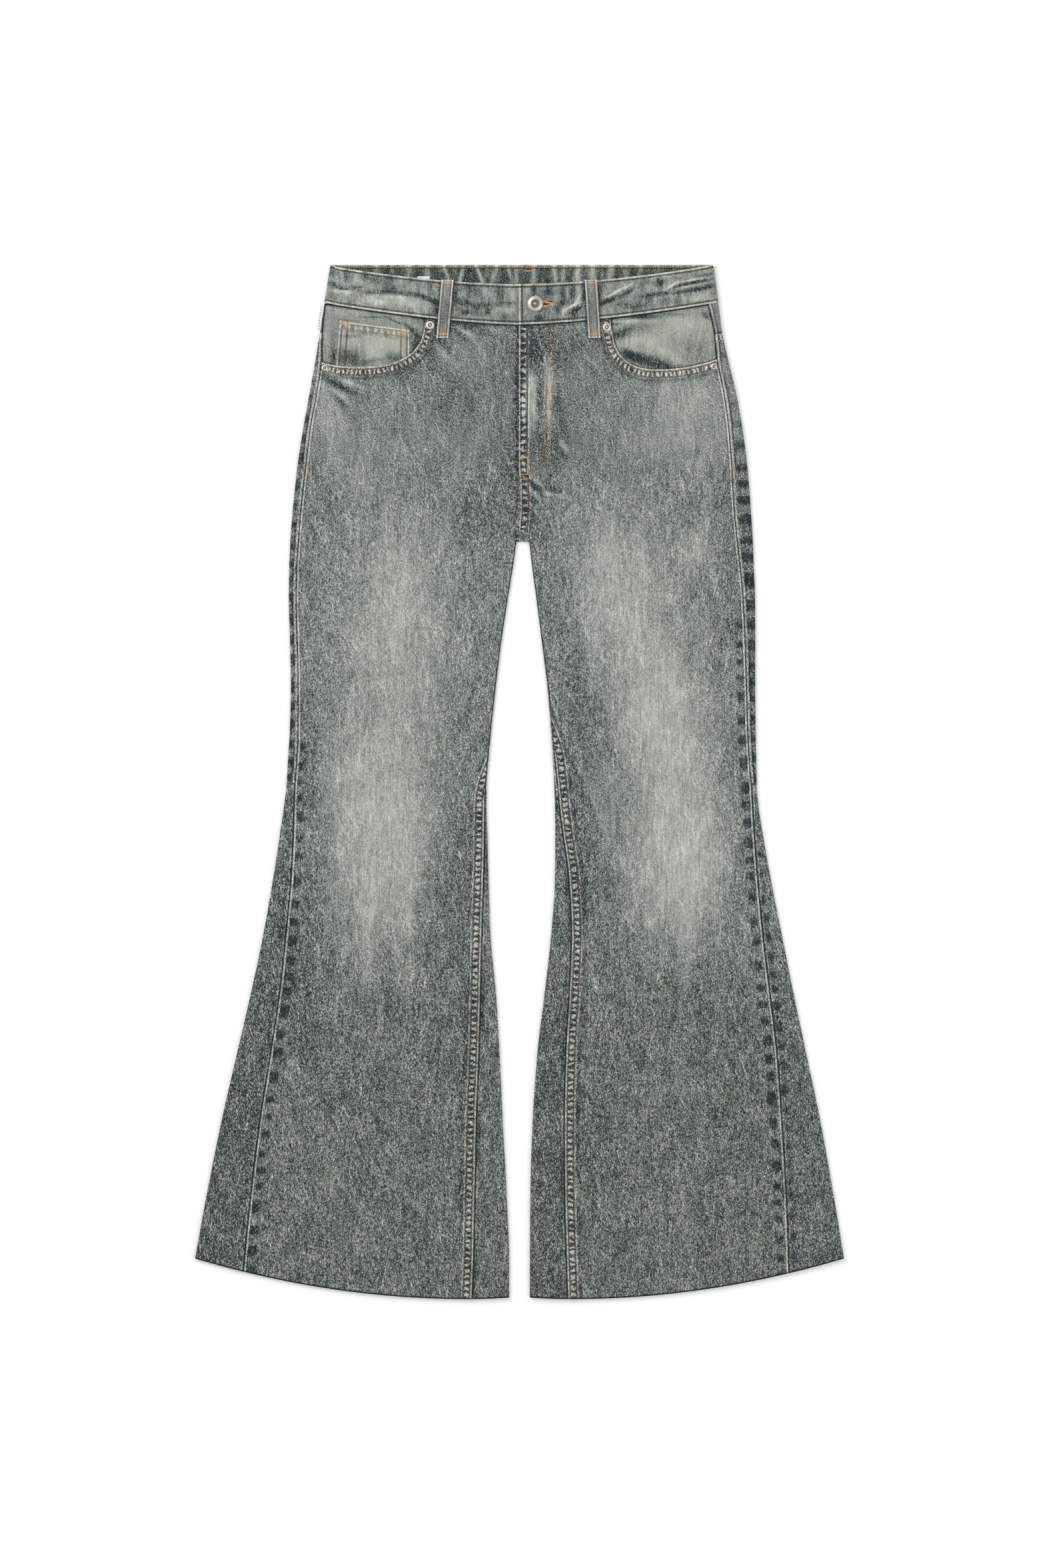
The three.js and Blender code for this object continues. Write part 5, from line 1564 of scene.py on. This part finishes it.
# Washed patches of the facings and of the coin pocket, as on the waistband, with painted shade among
# them: in the pocket's opening along the mouth, under the waistband, and by the coin pocket's top.
FACING_WASH_AND_SHADE = np.array([
    # Painted shade in the pocket's opening, along the mouth's edge.
    [133, 443, 24, 6, -14, -0.44, 1.8],
    [116, 449, 9, 4, -32, -0.36, 1.4],
    [153, 437, 14, 3, -3, -0.24, 1.2],
    [106, 470, 9, 5, 24, -0.36, 1.2],
    [114, 475, 13, 4, 18, -0.22, 1.0],
    [101, 481, 5, 1.2, 0, -0.35, 1.2],
    # Painted shadow under the waistband's lower edge.
    [124, 489, 12, 2.2, 8, -0.30, 1.2],
    [137, 488, 12, 2.2, 3, -0.30, 1.2],
    [160, 491, 16, 2, 0, -0.18, 1.0],
    [196, 490, 6, 3, -35, -0.28, 1.2],
    [120, 484, 20, 2, 3, 0.12, 1.2],
    [175, 481, 22, 10, 0, 0.10, 1.0],
    [140, 463, 16, 8, 0, 0.05, 1.0],
    [152, 452, 14, 5, -30, 0.12, 1.0],
    [125, 464, 20, 5, 8, 0.08, 1.0],
    [185, 450, 12, 14, 60, -0.08, 1.0],
    [135, 478, 12, 3, 10, -0.08, 1.0],
    [-152, 488, 17, 0.9, 0, -0.22, 1.4],
    [-131, 484, 10, 1.0, -24, -0.26, 1.4],
    [-116, 477, 8, 1.6, -40, -0.30, 1.4],
    [-108, 470, 8, 2.5, -45, -0.30, 1.2],
    [-110, 461, 5, 10, -10, -0.34, 1.2],
    [-107, 486, 6, 3, -20, -0.10, 1.0],
    [-180, 495, 30, 4, -5, 0.06, 1.0],
    [-140, 493, 20, 2.5, -12, 0.08, 1.0],
    [-204, 470, 3, 20, 0, 0.05, 1.0],
    [-196, 460, 3, 18, -5, -0.14, 1.0],
    [-195, 446, 3.5, 8, -8, -0.32, 1.2],
    # Painted shadow at the coin pocket's top left corner.
    [-182, 485, 9, 1.0, -8, -0.22, 1.2],
])
COIN_WASH_AND_SHADE = np.array([
    [-175, 475, 2, 4, 0, -0.20, 1.2],
    [-163, 474, 2, 4, 0, -0.14, 1.2],
    [-140, 470, 3, 4, 0, -0.14, 1.2],
    # Painted shadow below the coin pocket's doubled top.
    [-178, 468, 12, 2, -3, -0.18, 1.2],
    [-176, 446, 9, 10, -20, -0.30, 1.0],
    [-165, 440, 12, 5, 0, -0.22, 1.0],
    [-187, 446, 6, 10, 0, -0.22, 1.0],
    [-150, 443, 8, 3, 0, -0.15, 1.0],
    [-136, 446, 6, 6, 50, -0.22, 1.0],
    [-127, 443, 5, 6, 40, -0.30, 1.0],
    [-150, 458, 18, 7, 0, 0.04, 1.0],
])
FACING_LINES = [
    # Painted shade along the mouth's edge, where the facing goes under the front.
    {"seam": "d_mouth", "middle": 0.0, "half": 1.2, "soft": 1.4, "shade": -0.34},
    # Painted shadow under the waistband's lower edge: a dark line and a soft one.
    {"seam": "d_top", "middle": 0.3, "half": 0.9, "soft": 0.7, "shade": -0.55},
    {"seam": "d_top", "middle": 0.0, "half": 2.4, "soft": 3.0, "shade": -0.16},
    {"seam": "d_outer", "middle": 0.0, "half": 0.9, "shade": -0.40},
]
FACING_DENIM = denim("denim_facing", FACING_LINES, grainy=0.7, mottled=0.25)


def facing_top(side, x, y):
    """Height of a facing's face: under the front at the mouth, up to the front's level above it."""
    beside = SIDES[side] * (x - mouth_start(side))
    opened = smooth(3, 28, y - mouth_y(side, x)) * smooth(2, 16, beside)
    return front_top(side, x, y) - mix(CLOTH + 2 * GAP + PATCH, 0.5, opened)


def facing(side):
    """The facing on a grid from under the front to the outseam, and from the band to below the mouth."""
    sign = SIDES[side]
    start = mouth_start(side) - sign * FACING_UNDER
    down = np.linspace(0, 1, 56)[:, None]
    share = np.concatenate([np.linspace(0, 0.14, 12), np.linspace(0.155, 1, 72)])

    def place(y):
        """A share of the way from behind the pocket's mouth to the outseam."""
        return mix(start, outline(side, "outseam", y) - sign * GAP, share)

    def bend(x):
        """A share of the way from the band down to just behind the mouth's edge."""
        low = np.minimum(mouth_y(side, x + sign * FACING_UNDER), band_bottom(x) - 12) - FACING_UNDER
        return mix(band_bottom(x) - GAP, low, down)

    x, y = settle(470 + 0 * (down + share), place, bend)
    z = facing_top(side, x, y)
    return wall(
        f"denim_facing_{side}",
        np.stack([x, y, z], -1),
        np.stack([x, y, z - PATCH], -1),
        # The facing's tone: its wash and painted shade, and the belt loops' painted shadow.
        fade=(0.58 if side == "left" else 0.54) + 1.2 * wash_and_shade_patches(x, y, FACING_WASH_AND_SHADE) + loop_painted_shadow(x, y),
        hue=np.full(x.shape, 0.5),
        d_mouth=beside_path(mouth_path(side), x, y)[0],
        d_top=band_bottom(x) - GAP - y,
        d_outer=sign * (outline(side, "outseam", y) - x),
    )


def coin_pocket():
    """The patch on a grid: a slanting top edge, sides that lean with the wearer's side, and a foot that
    runs under the mouth."""
    down, share = np.linspace(0, 1, 40)[:, None], np.linspace(0, 1, 56)
    x = mix(COIN["left"], COIN["right"], share) - COIN["slant"] * down * (1 - share)
    top = mix(COIN["top_left"], COIN["top_right"], share)
    y = mix(top, np.maximum(COIN["bottom"], mouth_y("right", x) - 5), down)
    z = facing_top("right", x, y) + GAP + PATCH
    width = COIN["right"] - COIN["left"]
    sides = np.minimum(share, 1 - share) * width + 0 * x
    below = top - y
    for d in (sides, below):
        z = z - 0.35 * (1 - np.sqrt(1 - np.clip(1 - d / 1.2, 0, 1) ** 2))
    under = facing_top("right", x, y) + GAP
    return wall(
        "denim_coin_pocket",
        np.stack([x, y, z], -1),
        np.stack([x, y, under], -1),
        fade=0.67 + 1.4 * wash_and_shade_patches(x, y, COIN_WASH_AND_SHADE),
        hue=np.full(x.shape, 0.5),
        run=x + 0 * y,
        d_top=below,
        d_edge=sides,
    )


COIN_LINES = [
    {"seam": "d_top", "middle": 0.6, "half": 0.9, "shade": 0.16},
    {"seam": "d_edge", "middle": 0.6, "half": 0.9, "shade": 0.14},
    {"seam": "d_top", "middle": 2.4, "half": 0.7, "shade": -0.24},
    {"seam": "d_top", "middle": 7.8, "half": 0.7, "shade": -0.22},
    {"seam": "d_top", "middle": 10.0, "half": 1.0, "soft": 1.0, "shade": -0.10},
    {"seam": "d_edge", "middle": 2.5, "half": 0.8, "shade": -0.34},
    {"seam": "d_edge", "middle": 8.5, "half": 0.8, "shade": -0.32},
]
COIN_LADDERS = [{"seam": "d_top", "run": "run", "start": 2.6, "end": 7.2, "pitch": 7.0, "shade": 0.12}]
for side in SIDES:
    sign = SIDES[side]
    panel = dress(facing(side), "denim", FACING_DENIM, f"pocket_facing_{side}")

COIN_DENIM = denim("denim_coin_pocket", COIN_LINES, COIN_LADDERS, grainy=0.6, mottled=0.25)
coin = dress(coin_pocket(), "denim", COIN_DENIM, "coin_pocket")


def on_coin(x, y):
    """The coin pocket's face."""
    return facing_top("right", x, y) + GAP + PATCH


def coin_point(share, below):
    """A point of the coin pocket by its share across and its distance below the top edge."""
    top = mix(COIN["top_left"], COIN["top_right"], share)
    lean = COIN["slant"] * (1 - share) * below / 50
    return mix(COIN["left"], COIN["right"], share) - lean, top - below


lines = []
for below in (2.2, 7.6):
    share = np.linspace(0.02, 0.98, 40)
    lines.append(stitch_line(np.stack(coin_point(share, below), 1), on_coin, 0.78, 2.6, 2.1, 0.8))
for share in (0.034, 0.118, 0.882, 0.956):
    below = np.linspace(2, 48 if share < 0.5 else 38, 30)
    dye = 0.5 if share < 0.5 else 0.62
    lines.append(stitch_line(np.stack(coin_point(share, below), 1), on_coin, dye, 2.6, 2.1, 0.8))
for share in ((0.02, 0.13), (0.87, 0.985)):
    ends = [coin_point(s, 2.6) for s in share]
    lines.append(bar(*ends[0], *ends[1], on_coin, 0.88, 2.4))
seams = stitching("stitches_coin_pocket", lines)


# BELT LOOPS
# Folded strips of denim, stitched along both edges and bartacked at both ends. Two cross the front
# waistband and three the back, where the garment lies on them.
LOOP_LINES = [
    {"seam": "d_edge", "middle": 0.8, "half": 0.9, "shade": 0.26},
    {"seam": "d_edge", "middle": 2.5, "half": 0.7, "shade": -0.34},
    {"seam": "d_edge", "middle": 6.3, "half": 2.6, "soft": 1.0, "shade": -0.04},
    {"seam": "d_end", "middle": 0.6, "half": 0.9, "shade": 0.24},
]
LOOP_DENIM = denim("denim_loop", LOOP_LINES, grainy=0.5)


def loop_under(side, x, y, down):
    """Height of what a front loop lies on: the band, with a slight arch, and the front below it."""
    arch = 0.5 * np.sin(np.pi * np.minimum(1, down / 0.7))
    step = smooth(-6, -2, y - band_bottom(x))
    return mix(front_top(side, x, y), WAIST_LOFT + arch, step)


def belt_loop(name, top_x, foot_x, top_y, under, thick, face):
    """A strip on a grid from its top to its foot, with rounded edges, lying on or under what it crosses."""
    down, share = np.linspace(0, 1, 50)[:, None], np.linspace(-0.5, 0.5, 17)
    x = mix(top_x, foot_x, down) + LOOP_WIDTH * share
    y = top_y - LOOP_LENGTH * down + 0 * x
    near = np.minimum((0.5 - np.abs(share)) * LOOP_WIDTH + 0 * x, np.minimum(down, 1 - down) * LOOP_LENGTH)
    rolled = 0.5 * (1 - np.sqrt(1 - np.clip(1 - near / 1.2, 0, 1) ** 2))
    base = under(x, y, down)
    outer = np.stack([x, y, base + face * (thick - rolled)], -1)
    return wall(
        name,
        outer,
        np.stack([x, y, base + 0 * x], -1),
        fade=0.50 + 0.04 * np.sin(y / 9) + 0 * x,
        hue=np.full(x.shape, -0.5),
        d_edge=(0.5 - np.abs(share)) * LOOP_WIDTH + 0 * x,
        d_end=np.minimum(down, 1 - down) * LOOP_LENGTH + 0 * x,
    )


def loop_stitches(top_x, foot_x, top_y, height, face):
    """A row along each edge, and a bartack across each end."""
    down = np.linspace(0.03, 0.97, 40)
    lines = []
    for aside in (-3.8, 3.8):
        path = np.stack([mix(top_x, foot_x, down) + aside, top_y - LOOP_LENGTH * down], 1)
        lines.append(stitch_line(path, height, 0.6, 2.8, 2.2, 0.75, False, face))
    for share in (0.055, 0.93):
        x, y = mix(top_x, foot_x, share), top_y - LOOP_LENGTH * share
        lines.append(bar(x - 4.4, y, x + 4.4, y, height, 0.86, 1.9, face))
    return lines


for side, (top_x, foot_x) in FRONT_LOOPS.items():
    top_y = band_top(top_x) + 0.8

    def under(x, y, down):
        """The loop's underside: a seam's gap above what lies under it."""
        return loop_under(side, x, y, down) + GAP

    def face_height(x, y):
        """The loop's face: its thickness above its underside."""
        return loop_under(side, x, y, (top_y - y) / LOOP_LENGTH) + GAP + LOOP_THICK

    strip = belt_loop(f"denim_loop_front_{side}", top_x, foot_x, top_y, under, LOOP_THICK, 1)
    dress(strip, "denim", LOOP_DENIM, f"belt_loop_front_{side}")
    seams = stitching(f"stitches_loop_front_{side}", loop_stitches(top_x, foot_x, top_y, face_height, 1))

BACK_LOOPS = {"right": CENTRE_BACK - 128, "centre": CENTRE_BACK, "left": CENTRE_BACK + 128}
for place, loop_x in BACK_LOOPS.items():
    strip = belt_loop(
        f"denim_loop_back_{place}", loop_x, loop_x, WAIST_TOP, lambda x, y, down: PATCH + 0 * x, PATCH, -1
    )
    dress(strip, "denim", LOOP_DENIM, f"belt_loop_back_{place}")
    lines = loop_stitches(loop_x, loop_x, WAIST_TOP, lambda x, y: 0.1 + 0 * x, -1)
    seams = stitching(f"stitches_loop_back_{place}", lines)


# BACK POCKETS
# Two patches of denim with pointed feet, turned in all round, with a hemmed top and a double row of
# stitches. The garment lies on them.
POCKET_LINES = [
    {"seam": "d_edge", "middle": 0.2, "half": 0.9, "shade": 0.24},
    {"seam": "d_edge", "middle": 2.2, "half": 0.45, "shade": -0.14},
    {"seam": "d_edge", "middle": 8.2, "half": 0.45, "shade": -0.12},
]
POCKET_LADDERS = [{"seam": "d_edge", "run": "run", "start": 2.4, "end": 8.0, "pitch": 6.0, "shade": 0.12}]
POCKET_DENIM = denim("denim_back_pocket", POCKET_LINES, POCKET_LADDERS)


def pocket_corners(side):
    """The outline's corners, from the top on the inside round to the foot on the inside."""
    sign = SIDES[side]
    middle = (POCKET["foot_inner"] + POCKET["foot_outer"]) / 2
    plan = [
        (POCKET["inner"], POCKET["top"]),
        (POCKET["outer"], POCKET["top"] + POCKET["rise"]),
        (POCKET["foot_outer"], POCKET["foot"]),
        (middle, POCKET["point"]),
        (POCKET["foot_inner"], POCKET["foot"]),
    ]
    return np.array([(CENTRE_BACK + sign * x, y) for x, y in plan])


def back_pocket(side):
    """The patch on a grid: straight sides that draw in towards a pointed foot."""
    sign = SIDES[side]
    across, down = np.linspace(0, 1, 61), np.linspace(0, 1, 61)[:, None]
    top = mix(POCKET["top"], POCKET["top"] + POCKET["rise"], across)
    foot = mix(POCKET["foot"], POCKET["point"], 1 - np.abs(2 * across - 1))
    y = mix(top, foot, down)
    drawn = np.clip((top - y) / (top - POCKET["foot"]), 0, 1)
    inner = mix(POCKET["inner"], POCKET["foot_inner"], drawn)
    outer = mix(POCKET["outer"], POCKET["foot_outer"], drawn)
    x = CENTRE_BACK + sign * mix(inner, outer, across)
    corners = pocket_corners(side)
    loop = np.concatenate([corners, corners[:1]])
    rim = np.concatenate([np.linspace(a, b, 120) for a, b in zip(loop[:-1], loop[1:])])
    near, run = beside_path(rim, x, y)
    rolled = 0.3 * (1 - np.sqrt(1 - np.clip(1 - near / 1.2, 0, 1) ** 2))
    return wall(
        f"denim_back_pocket_{side}",
        np.stack([x, y, rolled], -1),
        np.stack([x, y, PATCH + 0 * x], -1),
        fade=back_fade(x, y) + 0.06,
        hue=hue(x, y),
        run=run,
        d_edge=near,
    )


def inward(corners, inset_by):
    """A closed outline moved in by one distance: each corner goes to where its two moved edges meet."""
    centre = corners.mean(0)
    after, before = np.roll(corners, -1, 0), np.roll(corners, 1, 0)

    def normal(a, b):
        """The unit vector across each edge, turned to point at the middle."""
        edge = b - a
        left = np.stack([-edge[:, 1], edge[:, 0]], 1) / np.hypot(edge[:, 0], edge[:, 1])[:, None]
        return left * np.sign(((centre - a) * left).sum(1))[:, None]

    one, two = normal(before, corners), normal(corners, after)
    bisector = one + two
    return corners + bisector * inset_by / (1 + (one * two).sum(1))[:, None]


for side in SIDES:
    patch = dress(back_pocket(side), "denim", POCKET_DENIM, f"back_pocket_{side}")
    lines = []
    for inset_by in (2.2, 8.2):
        ring = inward(pocket_corners(side), inset_by)
        ring = np.concatenate([ring, ring[:1]])
        lines.append(stitch_line(ring, lambda x, y: 0.1 + 0 * x, 0.62, 3.0, 2.2, 0.8, False, -1))
    seams = stitching(f"stitches_back_pocket_{side}", lines)


# ZIP AND INSIDE TAB
# The closed zip's woven tape lies behind the fly, out of sight. A blank white tab of folded tape is
# sewn inside the back waistband, and its top shows above the front.
def tape(name, middle_x, middle_y, width, length, low, thick, colour):
    """A flat woven strip on a grid, its surface crossed by fine ribs."""
    down, across = np.linspace(0.5, -0.5, 60)[:, None], np.linspace(-0.5, 0.5, 21)
    x, y = middle_x + width * across + 0 * down, middle_y + length * down + 0 * across
    z = low + thick + 0.06 * np.sin(x * 5)
    piece = wall(name, np.stack([x, y, z], -1), np.stack([x, y, low + 0 * x], -1))
    finish = Finish(name)
    weave = finish.noise((0.5, 1.5, 1), 2.0)
    stops = [(0.3, tuple(0.8 * c for c in colour)), (0.7, colour)]
    shade = finish.node("ValToRGB", {"stops": stops}, {"Fac": weave})
    return piece, finish.surface(shade, 0.7 + 0.2 * weave, weave, 0.1)


zip_low = BACK_LIFT + CLOTH + GAP
zip_colour = linear(0.26, 0.29, 0.31)
zip_piece, zip_material = tape("zip_tape", CENTRE_FRONT + 6, 425, 26, 106, zip_low, 0.9, zip_colour)
dress(zip_piece, "zip_tape", zip_material, "zip")
tab_low = BACK_LIFT + BAND + GAP
tab, tab_material = tape("inside_tab", -101, 521.6, 13, 18.8, tab_low, PATCH, linear(0.97, 0.97, 0.95))
dress(tab, "label_cloth", tab_material, "label")


# BUTTON AND RIVETS
# A stamped nickel tack button with a domed rim and a pip in its dished middle, and four flat rivets
# with a pip, two beside the tops of the pocket mouths and two small ones at their ends.
def metal_finish():
    """Worn nickel plate: pale where it is rubbed, dark where the tarnish mark of its hollows is high."""
    finish = Finish("worn_nickel")
    rub = finish.noise((1.2, 1.2, 1.2), 3.0)
    grime, nickel, rubbed = linear(0.20, 0.19, 0.18), linear(0.62, 0.60, 0.55), linear(0.90, 0.88, 0.83)
    stops = [(0.1, grime), (0.5, nickel), (0.9, rubbed)]
    shine = (0.65 + rub * 0.3 - finish.mark("tarnish")).clamp()
    colour = finish.node("ValToRGB", {"stops": stops}, {"Fac": shine})
    return finish.surface(colour, 0.34 + 0.25 * rub, rub, 0.04, Metallic=1.0)


METAL = metal_finish()


def turned(name, profile, x, y, segments):
    """A profile of radius, height and tarnish, carried round an upright axis; its two ends lie on the
    axis and are single points."""
    radius, height, tarnish = np.array(profile).T
    angle = np.linspace(0, 2 * np.pi, segments, endpoint=False)
    ring_x = x + radius[1:-1, None] * np.cos(angle)
    ring_y = y + radius[1:-1, None] * np.sin(angle)
    ring_z = height[1:-1, None] + 0 * angle
    rings = np.stack([ring_x, ring_y, ring_z], -1).reshape(-1, 3)
    points = np.concatenate([rings, [[x, y, height[0]], [x, y, height[-1]]]])
    count = len(radius) - 2
    index = np.arange(count * segments).reshape(count, segments)
    after = np.roll(index, -1, 1)
    sides = np.stack([index[:-1], after[:-1], after[1:], index[1:]], -1).reshape(-1, 4)
    low = np.stack([np.full(segments, len(points) - 2), after[0], index[0]], 1)
    high = np.stack([np.full(segments, len(points) - 1), index[-1], after[-1]], 1)
    mesh = bpy.data.meshes.new(name)
    mesh.from_pydata((points / 1000).tolist(), [], sides.tolist() + low.tolist() + high.tolist())
    mesh.polygons.foreach_set("use_smooth", np.ones(len(mesh.polygons), bool))
    mesh.set_sharp_from_angle(angle=radians(60))
    mesh.update()
    marks = np.concatenate([np.repeat(tarnish[1:-1], segments), tarnish[[0, -1]]]).astype(np.float32)
    mesh.attributes.new("tarnish", "FLOAT", "POINT").data.foreach_set("value", marks)
    piece = bpy.data.objects.new(name, mesh)
    bpy.context.collection.objects.link(piece)
    return piece


cap = OVERLAP_TOP + GAP
BUTTON_PROFILE = [
    (0, UNDERLAP_TOP + GAP, 0.3),
    (1.5, UNDERLAP_TOP + GAP, 0.3),
    (1.5, cap, 0.3),
    (7.6, cap, 0.3),
    (8.3, cap + 0.25, 0.2),
    (8.6, cap + 0.8, 0.1),
    (8.5, cap + 1.3, 0),
    (8.1, cap + 1.8, 0),
    (7.3, cap + 2.35, 0),
    (6.4, cap + 2.75, 0),
    (5.5, cap + 3.1, 0),
    (4.9, cap + 3.35, 0.15),
    (4.5, cap + 3.3, 0.45),
    (4.1, cap + 2.9, 0.35),
    (3.6, cap + 2.4, 0.1),
    (3.2, cap + 1.7, 0.45),
    (2.6, cap + 1.5, 0.6),
    (1.9, cap + 1.7, 0.4),
    (1.5, cap + 2.1, 0.1),
    (1.2, cap + 2.6, 0),
    (0.6, cap + 2.9, 0),
    (0, cap + 2.95, 0),
]
knob = turned("tack_button", BUTTON_PROFILE, 16.5, band_middle, 64)
dress(knob, "metal", METAL, "button")

RIVETS = [
    {"node": "rivet_mouth_right", "side": "right", "x": -93.9, "y": 479.6, "radius": 4.6},
    {"node": "rivet_mouth_left", "side": "left", "x": 91.9, "y": 477.4, "radius": 4.6},
    {"node": "rivet_side_right", "side": "right", "x": -204.5, "y": 434.6, "radius": 3.4},
    {"node": "rivet_side_left", "side": "left", "x": 204.2, "y": 436.2, "radius": 3.4},
]
for row in RIVETS:
    radius = row["radius"]
    foot = float(front_top(row["side"], np.array(row["x"]), np.array(row["y"]))) + MOUTH_RAISE + GAP
    profile = [
        (0, foot, 0.3),
        (radius, foot, 0.3),
        (radius, foot + 0.4, 0.2),
        (radius - 0.25, foot + 0.85, 0),
        (radius - 0.7, foot + 1.1, 0),
        (radius * 0.62, foot + 1.25, 0),
        (radius * 0.5, foot + 1.2, 0.1),
        (radius * 0.42, foot + 0.75, 0.55),
        (radius * 0.33, foot + 0.65, 0.6),
        (radius * 0.24, foot + 0.9, 0.3),
        (radius * 0.12, foot + 1.3, 0),
        (0, foot + 1.4, 0),
    ]
    rivet = turned(row["node"] + "_cap", profile, row["x"], row["y"], 40)
    dress(rivet, "metal", METAL, row["node"])


# FLOOR, LIGHT AND CAMERA
# A plain pale floor under soft studio light, and a long lens straight above the jeans.
floor_finish = Finish("pale_floor")
dust = floor_finish.noise((400, 400, 400), 1.0)
floor_colour = floor_finish.node(
    "ValToRGB", {"stops": [(0.0, (0.93, 0.93, 0.93)), (1.0, (0.96, 0.96, 0.96))]}, {"Fac": dust}
)
glow = {"Emission_Color": (1, 1, 1, 1), "Emission_Strength": 0.14}
floor_material = floor_finish.surface(floor_colour, 0.9, dust, 0.01, **glow)
corners = np.array([[-9000, -9000, -0.6], [9000, -9000, -0.6], [9000, 9000, -0.6], [-9000, 9000, -0.6]])
floor = shape("floor", corners, np.array([[0, 1, 2, 3]]))
floor.data.materials.append(floor_material)

world = bpy.data.worlds.new("studio")
world.use_nodes = True
world.node_tree.nodes["Background"].inputs["Color"].default_value = (1, 1, 1, 1)
world.node_tree.nodes["Background"].inputs["Strength"].default_value = 0.55
bpy.context.scene.world = world
bpy.context.scene.view_settings.view_transform = "Standard"

LIGHTS = [
    {"name": "key", "place": (-1.6, 1.5, 2.6), "size": 2.2, "power": 52},
    {"name": "fill", "place": (1.9, -0.6, 2.4), "size": 2.6, "power": 22},
]
for light in LIGHTS:
    data = bpy.data.lights.new(light["name"], "AREA")
    data.size, data.energy = light["size"], light["power"]
    lamp = bpy.data.objects.new(light["name"], data)
    lamp.location = light["place"]
    lamp.rotation_euler = (-lamp.location).to_track_quat("-Z", "Y").to_euler()
    bpy.context.collection.objects.link(lamp)

FRAME_HEIGHT = 1.6464
DISTANCE = 5.0
lens = bpy.data.cameras.new("camera")
lens.sensor_width = 36
lens.lens = 36 * DISTANCE / FRAME_HEIGHT
lens.clip_end = 50
camera = bpy.data.objects.new("camera", lens)
camera.location = (0.00315, -0.0021, DISTANCE + 0.006)
bpy.context.collection.objects.link(camera)
bpy.context.scene.camera = camera
